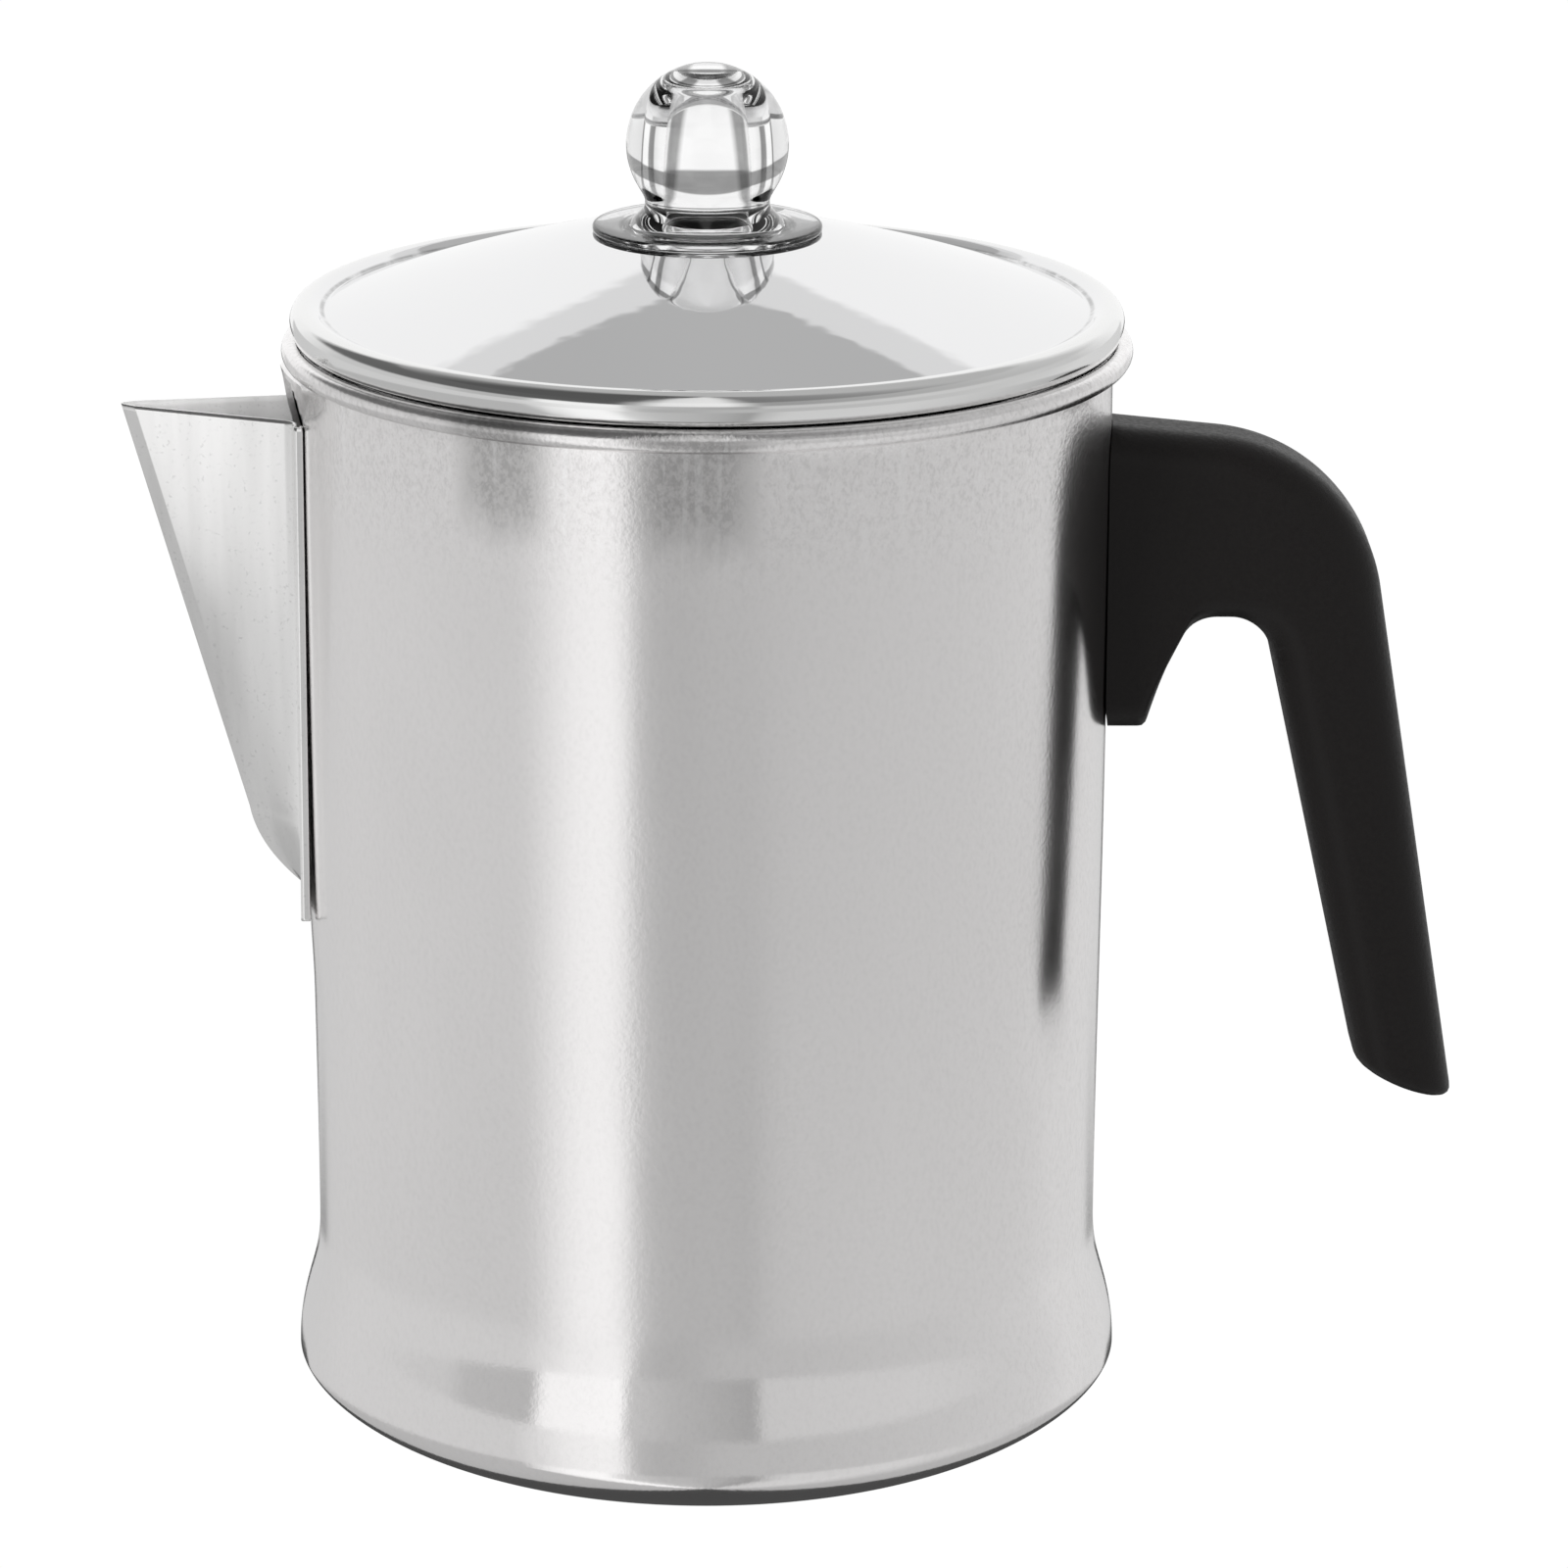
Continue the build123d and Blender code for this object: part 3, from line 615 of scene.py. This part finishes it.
def make_pot():
    profile, outer_rows, inner_rows = pot_rings()
    wall_rows = set(outer_rows) | set(inner_rows)
    angles = pot_angles()
    columns = len(angles)
    verts = pot_points(profile, angles, wall_rows)
    window = window_quads(profile, angles, wall_rows)
    faces = grid_faces(len(profile), columns, False, True, lambda r, c: (r, c) not in window)
    faces += window_edges(window, outer_rows, inner_rows, columns)
    faces += [cap(0, columns), cap(len(profile) - 1, columns, True)]
    verts, faces = without_loose(verts, faces)
    make_piece("pot_shell", verts, faces, "pot", ["pot_body"], SATIN, 40)


# ---- spout ----
def keel_x(z):
    """Front edge of the beak at a height."""
    if z >= KEEL_Z:
        return KEEL_X + (TIP_X - KEEL_X) * (z - KEEL_Z) / (TIP_Z - KEEL_Z)
    share = (KEEL_Z - z) / (KEEL_Z - SEAM_LOW_Z - 1.9 * MM)
    share = min(max(share, 0), 1)
    reach = HEM_FRONT_X - 0.05 * MM - KEEL_X
    return KEEL_X + reach * (0.29 * share + 0.71 * share ** 2.1)


def spout_section(z):
    """Outer skin of one half, in plan, from the nose to the end of the folded hem."""
    room = max(SIDE_FOOT_X - keel_x(z), 0.3 * MM)
    front = SIDE_FOOT_X - room
    size = min(1, room / (7 * MM))
    foot_half = SIDE_FOOT_HALF * (0.35 + 0.65 * ease(room, 0, 9 * MM))
    return (
        (front, 0.0, 0),
        (front, 0.35 * MM * size, 0.3 * MM * size),
        (front + 2.1 * MM * size, 1.75 * MM * size, 0.9 * MM * size),
        (HEM_FRONT_X, foot_half + 0.3 * MM, 2.4 * MM * min(1, 0.25 + size)),
        (HEM_FRONT_X, HEM_HALF, 0.6 * MM),
        (HEM_BACK_X, HEM_HALF, 0.25 * MM),
        (HEM_BACK_X, HEM_HALF - 1.2 * MM, 0),
    )


def fixed_arcs(corners, arc_steps, straight_steps):
    """Like rounded(), but every straight run and arc has the same count in each section."""
    points = []
    cursor = Vector(corners[0][:2])
    for before, corner, after in zip(corners, corners[1:], corners[2:]):
        begin, finish, centre, turn = corner_arc(before, corner, after)
        points += [cursor.lerp(begin, i / straight_steps) for i in range(straight_steps)]
        for i in range(arc_steps):
            points.append(centre + Matrix.Rotation(turn * i / arc_steps, 2) @ (begin - centre))
        cursor = finish
    last = Vector(corners[-1][:2])
    points += [cursor.lerp(last, i / straight_steps) for i in range(straight_steps)]
    return points + [last]


def spout_height(x, z):
    """Height of a point of the sheet, stretched so that its rim slants up to the tip."""
    out = (x - SIDE_FOOT_X) / (TIP_X - SIDE_FOOT_X)
    rim = lerp(SPOUT_RIM_Z, TIP_Z, min(max(out, 0), 1))
    return lerp(SEAM_LOW_Z, rim, (z - SEAM_LOW_Z) / (TIP_Z - SEAM_LOW_Z))


def make_spout():
    heights = [lerp(SEAM_LOW_Z, KEEL_Z, i / 30) for i in range(30)]
    heights += [lerp(KEEL_Z, TIP_Z, i / 70) for i in range(71)]
    verts = []
    for z in heights:
        half = fixed_arcs(spout_section(z), 7, 8)
        section = [(p.x, -p.y) for p in reversed(half[1:])] + [(p.x, p.y) for p in half]
        verts += [(x, y, spout_height(x, z)) for x, y in section]
    faces = grid_faces(len(heights), len(verts) // len(heights), False, False)
    spout = make_piece(
        "spout_sheet", verts, faces, "pot", ["spout"], FOLDED_INSIDE, 50
    )
    spout.data.materials.append(FOLDED)
    thick = spout.modifiers.new("sheet", "SOLIDIFY")
    thick.thickness = SPOUT_SHEET
    thick.offset = 1
    thick.use_even_offset = True
    thick.material_offset = 1


# ---- handle ----
HANDLE_HALF = handle_high.y
EDGE_R = 6.2 * MM
END_ROUND = 2.9 * MM
# Side view in millimetres: corners as (x, z, radius), and matching points of both edges.
TOP_CORNERS = ((60.9, 156.7, 0), (98.7, 152.95, 28), (114.95, 52.3, 0))
UNDER_CORNERS = (
    (60.9, 109.7, 0), (66.6, 109.7, 1.2), (69.0, 117.8, 15),
    (73.3, 126.9, 6), (84.5, 126.9, 6.5), (99.75, 57.9, 0),
)
STATIONS = (
    ((60.9, 156.75), (60.9, 109.7)),
    ((68.0, 155.9), (66.3, 109.8)),
    ((74.0, 155.2), (68.9, 117.5)),
    ((83.0, 154.0), (73.6, 125.2)),
    ((91.5, 150.0), (78.8, 126.9)),
    ((98.0, 143.2), (84.2, 124.8)),
    ((101.4, 133.5), (86.2, 118.6)),
    ((103.6, 122.0), (88.3, 109.5)),
    ((114.95, 52.3), (99.75, 57.9)),
)
STATION_STEPS = (8, 10, 12, 12, 10, 10, 10, 50)   # rings from each station to the next


def metres(points):
    return [tuple(value * MM for value in point) for point in points]


def lengths_of(points):
    total = [0.0]
    for a, b in zip(points, points[1:]):
        total.append(total[-1] + (b - a).length)
    return total


def at_length(points, total, goal):
    k = 0
    while k < len(points) - 2 and total[k + 1] < goal:
        k += 1
    span = total[k + 1] - total[k]
    return points[k].lerp(points[k + 1], (goal - total[k]) / span if span else 0)


def nearest_length(points, total, target):
    distances = [(p - Vector(target)).length for p in points]
    return total[distances.index(min(distances))]


def handle_stations():
    """Pairs of points on the upper and lower edge of the handle's side view."""
    top = rounded(metres(TOP_CORNERS))
    under = rounded(metres(UNDER_CORNERS))
    top_total = lengths_of(top)
    under_total = lengths_of(under)
    keys = []
    for upper, lower in map(metres, STATIONS):
        a = nearest_length(top, top_total, upper)
        b = nearest_length(under, under_total, lower)
        keys.append((a, b))
    pairs = []
    for start, end, count in zip(keys, keys[1:], STATION_STEPS):
        for i in range(count):
            a, b = (lerp(start[k], end[k], i / count) for k in (0, 1))
            pairs.append((at_length(top, top_total, a), at_length(under, under_total, b)))
    return pairs + [(top[-1], under[-1])]


def rounded_loop(half_chord, half_width, radius, per_corner=9, per_side=6):
    """Rounded rectangle as (along the chord, across), the same count whatever its size."""
    radius = min(radius, half_chord * 0.98, half_width * 0.98)
    loop = []
    corners = ((1, 1), (-1, 1), (-1, -1), (1, -1))
    for index, (here, after) in enumerate(zip(corners, corners[1:] + corners[:1])):
        start = 90 * index
        centres = [(x * (half_chord - radius), y * (half_width - radius)) for x, y in (here, after)]
        loop += arc(centres[0], radius, start, start + 90, per_corner)
        turn = math.radians(start + 90)
        out = (radius * math.cos(turn), radius * math.sin(turn))
        begin, finish = ((x + out[0], y + out[1]) for x, y in centres)
        loop += line(begin, finish, per_side)[1:]
    return loop


def handle_rings():
    """Both ends of each ring's chord and its half width, from the wall to the closed tip."""
    pairs = handle_stations()
    rings = [(top, under, HANDLE_HALF) for top, under in pairs]
    top, under = pairs[-1]
    along = ((top + under) / 2 - (pairs[-2][0] + pairs[-2][1]) / 2).normalized()
    chord = (top - under).normalized()
    for i in range(1, 7):
        angle = math.radians(15 * i)
        shrink = END_ROUND * (1 - math.cos(angle))
        inward = chord * shrink
        down = along * END_ROUND * math.sin(angle)
        rings.append((top - inward + down, under + inward + down, HANDLE_HALF - shrink))
    top, under, half = rings[-1]
    centre = (top + under) / 2
    for i in range(1, 8):
        share = 1 - i / 8
        rings.append((centre.lerp(top, share), centre.lerp(under, share), half * share))
    return rings


def ring_points(top, under, half_width, at_wall):
    """Rounded ring round a chord, kept outside the wall."""
    middle = (top + under) / 2
    chord = (top - under).normalized()
    points = []
    for a, y in rounded_loop((top - under).length / 2, half_width, EDGE_R):
        wall_x = math.sqrt((WALL_R + 0.12 * MM) ** 2 - y * y)
        x = wall_x if at_wall else max(middle.x + chord.x * a, wall_x)
        points.append((x, y, middle.y + chord.y * a))
    return points


def make_handle():
    rings = handle_rings()
    verts = []
    for index, ring in enumerate(rings):
        verts += ring_points(*ring, index == 0)
    columns = len(verts) // len(rings)
    faces = grid_faces(len(rings), columns, False, True)
    faces += [cap(0, columns, True), cap(len(rings) - 1, columns)]
    make_piece("handle_grip", verts, faces, "pot", ["handle"], PHENOLIC, 50)


# ---- lid ----
def lid_face(inset):
    """Outer or inner face of the lid's sheet, from the knob hole out to the plug's end."""
    top = lid_high.z - inset
    rest = LID_REST_Z + inset
    bend_start = (SEAT_R - SEAT_BEND, top)
    bend_end = (SEAT_R + SEAT_BEND, top - SEAT_DROP)
    valley = (VALLEY_R, VALLEY_Z - inset)
    reach = VALLEY_R - SEAT_R
    falls = [math.tan(math.radians(slope)) * reach for slope in CONE_SLOPES]
    shoulder = arc((SHOULDER_R, SHOULDER_Z), SHOULDER_ROUND - inset, 0, 118, 16)[::-1]
    tuck = (TUCK_R - inset, rest)
    plug = (PLUG_R - inset, rest)
    end = (PLUG_R - inset, lid_low.z)
    points = line((LID_HOLE_R, top), bend_start, 3)
    points += hermite(bend_start, bend_end, (2 * SEAT_BEND, 0), (2 * SEAT_BEND, -2 * SEAT_DROP), 5)
    points += hermite(bend_end, valley, (reach, -falls[0]), (reach, -falls[1]), 60)
    points += hermite(valley, shoulder[0], (0.6 * MM, 0.05 * MM), (1.0 * MM, 0.52 * MM), 5)
    points += shoulder[:-1]
    points += hermite(shoulder[-1], tuck, (0, -1.6 * MM), (-1.6 * MM, -1.2 * MM), 8)
    points += line(tuck, plug, 3)
    points += line(plug, end, 5)
    return points + [end]


def notch_reach(angle):
    """How far the notches for the knob's lugs reach out at an angle round the hole."""
    off = abs((math.degrees(angle) - LUG_TURN + 90) % 180 - 90)
    return min(NOTCH_R, NOTCH_HALF / max(math.sin(math.radians(off)), 0.01))


def make_lid():
    profile = lid_face(0) + lid_face(LID_SHEET)[::-1]
    angles = even_angles()
    columns = len(angles)
    verts = turned(profile, angles)
    faces = grid_faces(len(profile), columns, True, True)
    for row, (r, z) in enumerate(profile):
        if r > NOTCH_R or z < lid_high.z - 2 * LID_SHEET:
            continue
        for column, angle in enumerate(angles):
            out = max(r, notch_reach(angle))
            verts[row * columns + column] = (out * math.cos(angle), out * math.sin(angle), z)
    make_piece("lid_cover", verts, faces, "lid", ["lid"], POLISHED, 45)


# ---- glass knob ----
BULB_R = 12.15 * MM
BULB_Z = knob_high.z - BULB_R
FLANGE_R = knob_high.x
FLANGE_LOW_Z = lid_high.z + 0.05 * MM
FLANGE_TOP_Z = FLANGE_LOW_Z + 1.2 * MM
NECK_R = 9.3 * MM
NECK_Z = FLANGE_TOP_Z + 3.35 * MM
BAYONET_R = 12.9 * MM
BAYONET_BORE_R = 10.6 * MM
BORE_R = 6.5 * MM
CAVITY_TOP_Z = BULB_Z + 9.0 * MM
CAVITY_ROUND = 1.3 * MM
LUG_R = 15.6 * MM
LUG_LOW_Z = knob_low.z + 0.6 * MM
LUG_TOP_Z = LUG_LOW_Z + 2.2 * MM
LUG_HALF = 4.0 * MM
LUG_ROOT_R = BAYONET_R + 0.02 * MM   # where the lug's rows lie beside the lugs
COLLAR_R = 12.6 * MM                 # start of the curve from the flange up to the neck
EDGE_ROUND = 0.45 * MM


def flange_profile():
    """Outside of the flange, from the bayonet tube out, up and back in to the collar."""
    edge_r = FLANGE_R - EDGE_ROUND
    points = [(BAYONET_R, FLANGE_LOW_Z)]
    points += arc((edge_r, FLANGE_LOW_Z + EDGE_ROUND), EDGE_ROUND, -90, 0, 6)
    points += arc((edge_r, FLANGE_TOP_Z - EDGE_ROUND), EDGE_ROUND, 0, 90, 6)
    return points + line((FLANGE_R - 0.5 * MM, FLANGE_TOP_Z), (COLLAR_R, FLANGE_TOP_Z), 5)[1:]


def bulb_profile():
    """Outside of the neck and bulb, ending just off the axis at the top."""
    neck = (NECK_R, NECK_Z)
    bulb = arc((0, BULB_Z), BULB_R, -30, 88, 64)
    points = hermite((COLLAR_R, FLANGE_TOP_Z), neck, (-4.2 * MM, 0.5 * MM), (0, 3.2 * MM), 14)
    points += hermite(neck, bulb[0], (0, 2.2 * MM), (1.1 * MM, 2.0 * MM), 7)
    return points + bulb


def cavity_profile():
    """Inside of the glass, from just off the axis at the top down to the open end."""
    corner = (BORE_R - CAVITY_ROUND, CAVITY_TOP_Z - CAVITY_ROUND)
    points = line((0.4 * MM, CAVITY_TOP_Z), (corner[0], CAVITY_TOP_Z), 8)
    points += arc(corner, CAVITY_ROUND, 0, 90, 10)[::-1]
    points += line((BORE_R, corner[1]), (BORE_R, FLANGE_TOP_Z + 1.5 * MM), 20)[1:]
    return points + [
        (BORE_R, FLANGE_TOP_Z + 1 * MM),
        (BORE_R + 0.4 * MM, FLANGE_TOP_Z - 0.5 * MM),
        (BAYONET_BORE_R, FLANGE_LOW_Z - 1 * MM),
        (BAYONET_BORE_R, knob_low.z + 0.3 * MM),
        (BAYONET_BORE_R, knob_low.z),
    ]


def knob_profile():
    """Both halves of the glass's section, with the rows of the lugs in the outer one."""
    low = knob_low.z
    outside = line((BAYONET_R, low + 0.3 * MM), (BAYONET_R, LUG_LOW_Z), 2)
    lug_rows = (len(outside) + 1, len(outside) + 2)
    outside += [(BAYONET_R, LUG_LOW_Z), (LUG_R, LUG_LOW_Z), (LUG_R, LUG_TOP_Z), (BAYONET_R, LUG_TOP_Z)]
    outside += line((BAYONET_R, LUG_TOP_Z), (BAYONET_R, FLANGE_LOW_Z), 3)[1:]
    outside += flange_profile() + bulb_profile()
    end = arc((BAYONET_R - 0.5 * MM, low + 0.5 * MM), 0.5 * MM, -90, 0, 4)[:-1]
    return outside, cavity_profile() + end, lug_rows


def make_knob():
    outside, inside, lug_rows = knob_profile()
    profile = outside + inside
    angles = even_angles(256)
    columns = len(angles)
    verts = turned(profile, angles)
    for row in lug_rows:
        beside = turned([(LUG_ROOT_R, profile[row][1])], angles)
        for column, angle in enumerate(angles):
            if abs(LUG_R * math.sin(angle)) > LUG_HALF:
                verts[row * columns + column] = beside[column]
    top_row = len(outside) - 1
    faces = grid_faces(len(profile), columns, True, True, lambda r, c: r != top_row)
    faces += [cap(top_row, columns), cap(top_row + 1, columns, True)]
    make_piece("glass_knob", verts, faces, "knob", ["knob"], GLASS_CLEAR, 30)


make_pot()
make_spout()
make_handle()
make_lid()
make_knob()

INNER_MATERIALS = {
    "stem_tube": DRAWN, "stem_bell": DRAWN, "stem_ferrule": DRAWN, "stem_stop": DRAWN,
    "valve_plate": DRAWN, "valve_disc": STEEL, "basket": DRAWN, "basket_sleeve": DRAWN,
    "spreader": DRAWN, "handle_screws": STEEL, "handle_washers": STEEL,
    "handle_seals": FIBRE, "handle_inserts": BRASS,
}
for node, material in INNER_MATERIALS.items():
    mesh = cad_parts[node].data
    mesh.materials.clear()
    mesh.materials.append(material)


# ---- studio ----
WHITE = 1.02                      # background and floor, as the camera sees them
FLOOR_R = 14.0
# Brightness of the studio by azimuth in degrees: 0 is behind the camera, 90 to its right,
# 180 behind the pot. The zones follow each other upwards.
TABLE_NEAR_POT = (
    (-180, 0.45), (-120, 0.5), (-60, 0.51), (-54, 0.52), (-48, 0.85), (-40, 1.05), (-29, 1.08),
    (-23, 0.7), (-15, 0.56), (-5, 0.52), (5, 0.45), (13, 0.36), (17, 0.56), (24, 0.68), (60, 0.70),
    (90, 0.62), (120, 0.5), (180, 0.45),
)
TABLE = (
    (-180, 0.60), (-145, 0.64), (-120, 0.68), (-62, 0.665), (-54, 0.67), (-46, 0.79), (-38, 0.93),
    (-28, 0.985), (-24, 0.96), (-19, 0.53), (-13, 0.47), (-5, 0.475), (4, 0.515), (20, 0.53),
    (40, 0.56), (70, 0.60), (92, 0.64), (106, 0.67), (122, 0.74), (150, 0.72), (180, 0.60),
)
WALLS = (
    (-180, 1.0), (-150, 0.97), (-120, 0.62), (-78, 0.62), (-70, 0.52), (-50, 0.5), (-46, 1.0),
    (-24, 1.05), (-21.5, 0.6), (-10, 0.5), (5, 0.44), (13, 0.4), (16, 0.62), (60, 0.66), (120, 0.62),
    (150, 0.97), (180, 1.0),
)
CEILING_ROUND_CAMERA = (
    (-140, 0.15), (-26, 0.1), (-14, 0.9), (6, 0.95), (16, 0.35), (60, 0.45), (130, 0.6),
)
FRONT_CEILING = ((-180, 1.0), (-152, 1.0)) + CEILING_ROUND_CAMERA + ((152, 1.0), (180, 1.0))
UPPER_WALLS = ((-180, 0.78), (-152, 0.78)) + CEILING_ROUND_CAMERA + ((152, 0.78), (180, 0.78))
CEILING = (
    (-180, 0.5), (-150, 0.47), (-120, 0.2), (-95, 0.1), (-24, 0.1), (-14, 0.8), (4, 0.9), (14, 0.2),
    (60, 0.3), (100, 0.5), (150, 0.5), (180, 0.5),
)
# Elevations in degrees between which one zone gives way to the next.
TABLE_ABOVE = (-25, -22)
WALLS_ABOVE = (-1, 1)
FRONT_CEILING_ABOVE = (14, 22)
UPPER_WALLS_ABOVE = (36.5, 38.5)
CEILING_ABOVE = (42, 43)
# Patches straight behind the pot: half width, lowest and highest elevation.
BRIGHT_BEHIND = (22, -10.7, 90)   # white wall, seen down to the table
BACKDROP_FOOT = (13, -19, -10.7)  # dark strip at its foot
BACKDROP_DEPTH = 0.95
SHADE_HALF = 24                   # the pot's own shade on the table
SHADE_BELOW = (-20.3, -19)
SHADE_DEPTH = 0.85
# What the glass knob shows is lit apart from what the metal mirrors.
THROUGH_GLASS = (
    (-180, 1.0), (-166, 1.0), (-160, 0.3), (-142, 0.25), (-137, 0.8), (-118, 0.95), (-100, 1.0),
    (-40, 0.8), (0, 0.6), (60, 0.8), (100, 1.0), (118, 0.95), (137, 0.8), (142, 0.25), (160, 0.3),
    (166, 1.0), (180, 1.0),
)
HORIZON_BAND = ((2.5, 4), (15, 16.5))
HORIZON_LEVEL = 0.3
GLASS_TOP_ABOVE = (26, 32)
GLASS_TOP_LEVEL = 0.8


def make_floor():
    """Plain white floor for the camera; the metal mirrors the world's lower half instead."""
    ring = turned([(FLOOR_R, 0)], even_angles(48))
    mesh = bpy.data.meshes.new("floor")
    mesh.from_pydata(ring, [], [cap(0, len(ring))])
    floor = bpy.data.objects.new("floor", mesh)
    bpy.context.scene.collection.objects.link(floor)
    material = bpy.data.materials.new("floor")
    material.use_nodes = True
    g = Graph(material.node_tree)
    white = g.add("ShaderNodeEmission")
    white.inputs[1].default_value = WHITE
    g.link(white.outputs[0], g.add("ShaderNodeOutputMaterial").inputs[0])
    mesh.materials.append(material)
    floor.visible_glossy = False
    floor.visible_diffuse = False
    floor.visible_transmission = False


class Studio(Graph):
    """World whose brightness goes by azimuth and elevation."""

    def __init__(self, world):
        world.use_nodes = True
        super().__init__(world.node_tree)
        x, y, z = self.split(self.add("ShaderNodeTexCoord").outputs["Generated"])
        angle = self.azimuth(x, y)
        self.turn = self.math("ADD", self.times(angle, 0.5 / math.pi), 0.5)
        self.elevation = self.math("ARCSINE", z)
        self.behind = self.math("SUBTRACT", math.pi, self.math("ABSOLUTE", angle))

    def around(self, stops):
        """Brightness by azimuth, as a colour ramp."""
        highest = max(level for _, level in stops)
        ramp = self.add("ShaderNodeValToRGB")
        elements = ramp.color_ramp.elements
        elements.remove(elements[-1])
        for index, (degrees, level) in enumerate(stops):
            place = (degrees + 180) / 360
            element = elements[0] if index == 0 else elements.new(place)
            element.position = place
            element.color = (level / highest,) * 3 + (1,)
        self.link(self.turn, ramp.inputs[0])
        return self.times(ramp.outputs[0], highest)

    def blend(self, lower, upper, between):
        """lower below the first elevation and upper above the second, in degrees."""
        low, high = (math.radians(degrees) for degrees in between)
        return self.choose(self.remap(self.elevation, low, high), lower, upper)

    def choose(self, share, first, second):
        """Number between first and second; these are sockets 2 and 3."""
        mix = self.add("ShaderNodeMix", data_type="FLOAT")
        self.fill(mix.inputs[0], share)
        self.fill(mix.inputs[2], first)
        self.fill(mix.inputs[3], second)
        return mix.outputs[0]

    def patch(self, half_width, low, high):
        """1 in a patch straight behind the pot, 0 elsewhere."""
        inside = self.math("LESS_THAN", self.behind, math.radians(half_width))
        inside = self.times(inside, self.math("GREATER_THAN", self.elevation, math.radians(low)))
        return self.times(inside, self.math("LESS_THAN", self.elevation, math.radians(high)))

    def darkened(self, level, share):
        return self.times(level, self.math("SUBTRACT", 1.0, share))


def mirrored_level(s):
    """What the metal mirrors."""
    level = s.blend(s.around(TABLE_NEAR_POT), s.around(TABLE), TABLE_ABOVE)
    level = s.blend(level, s.around(WALLS), WALLS_ABOVE)
    level = s.math("MAXIMUM", level, s.patch(*BRIGHT_BEHIND))
    level = s.blend(level, s.around(FRONT_CEILING), FRONT_CEILING_ABOVE)
    level = s.blend(level, s.around(UPPER_WALLS), UPPER_WALLS_ABOVE)
    level = s.blend(level, s.around(CEILING), CEILING_ABOVE)
    level = s.darkened(level, s.times(s.patch(*BACKDROP_FOOT), BACKDROP_DEPTH))
    shade = s.math("LESS_THAN", s.behind, math.radians(SHADE_HALF))
    return s.darkened(level, s.times(shade, s.blend(SHADE_DEPTH, 0.0, SHADE_BELOW)))


def glass_level(s):
    """What shows through the glass, with a dark band above the horizon."""
    below, above = HORIZON_BAND
    height = s.blend(1.0, s.blend(HORIZON_LEVEL, 1.0, above), below)
    height = s.blend(height, GLASS_TOP_LEVEL, GLASS_TOP_ABOVE)
    return s.times(s.around(THROUGH_GLASS), height)


def make_world():
    world = bpy.data.worlds.new("studio")
    bpy.context.scene.world = world
    s = Studio(world)
    path = s.add("ShaderNodeLightPath")
    studio = s.add("ShaderNodeBackground")
    studio.inputs[0].default_value = (1, 1, 1, 1)
    level = s.choose(path.outputs["Is Transmission Ray"], mirrored_level(s), glass_level(s))
    s.link(level, studio.inputs[1])
    seen = s.add("ShaderNodeBackground")
    seen.inputs[0].default_value = (1, 1, 1, 1)
    seen.inputs[1].default_value = WHITE
    mix = s.add("ShaderNodeMixShader")
    s.link(path.outputs["Is Camera Ray"], mix.inputs[0])
    s.link(studio.outputs[0], mix.inputs[1])
    s.link(seen.outputs[0], mix.inputs[2])
    s.link(mix.outputs[0], s.add("ShaderNodeOutputWorld").inputs[0])


def softbox(name, azimuth, elevation, distance, width, height, power):
    """Area light aimed at the middle of the pot."""
    light = bpy.data.lights.new(name, "AREA")
    light.shape = "RECTANGLE"
    light.size = width
    light.size_y = height
    light.energy = power
    lamp = bpy.data.objects.new(name, light)
    bpy.context.scene.collection.objects.link(lamp)
    a, e = math.radians(azimuth), math.radians(elevation)
    back = Vector((math.sin(a) * math.cos(e), -math.cos(a) * math.cos(e), math.sin(e)))
    lamp.location = Vector((0, 0, 0.1)) + back * distance
    lamp.rotation_mode = "QUATERNION"
    lamp.rotation_quaternion = back.to_track_quat("Z", "Y")
    lamp.visible_camera = False
    lamp.visible_glossy = False
    lamp.visible_transmission = False


# Fitted to the photo.
CAMERA_PLACE = Vector((0, -1.04261, 0.40485))
CAMERA_AIM = Vector((0.0118, 0, 0.0992))
CAMERA_ROLL = 0.00386
CAMERA_LENS = 162.7


def make_camera():
    data = bpy.data.cameras.new("camera")
    data.sensor_width = 36
    data.lens = CAMERA_LENS
    data.clip_end = 50
    camera = bpy.data.objects.new("camera", data)
    bpy.context.scene.collection.objects.link(camera)
    camera.location = CAMERA_PLACE
    look = (CAMERA_AIM - CAMERA_PLACE).to_track_quat("-Z", "Y").to_matrix().to_4x4()
    camera.rotation_mode = "QUATERNION"
    camera.rotation_quaternion = (look @ Matrix.Rotation(CAMERA_ROLL, 4, "Z")).to_quaternion()
    bpy.context.scene.camera = camera


make_floor()
make_world()
softbox("key", azimuth=-35, elevation=30, distance=1.3, width=0.35, height=0.9, power=12)
softbox("fill", azimuth=60, elevation=35, distance=1.5, width=0.6, height=0.6, power=5)
make_camera()
bpy.context.scene.view_settings.view_transform = "Standard"
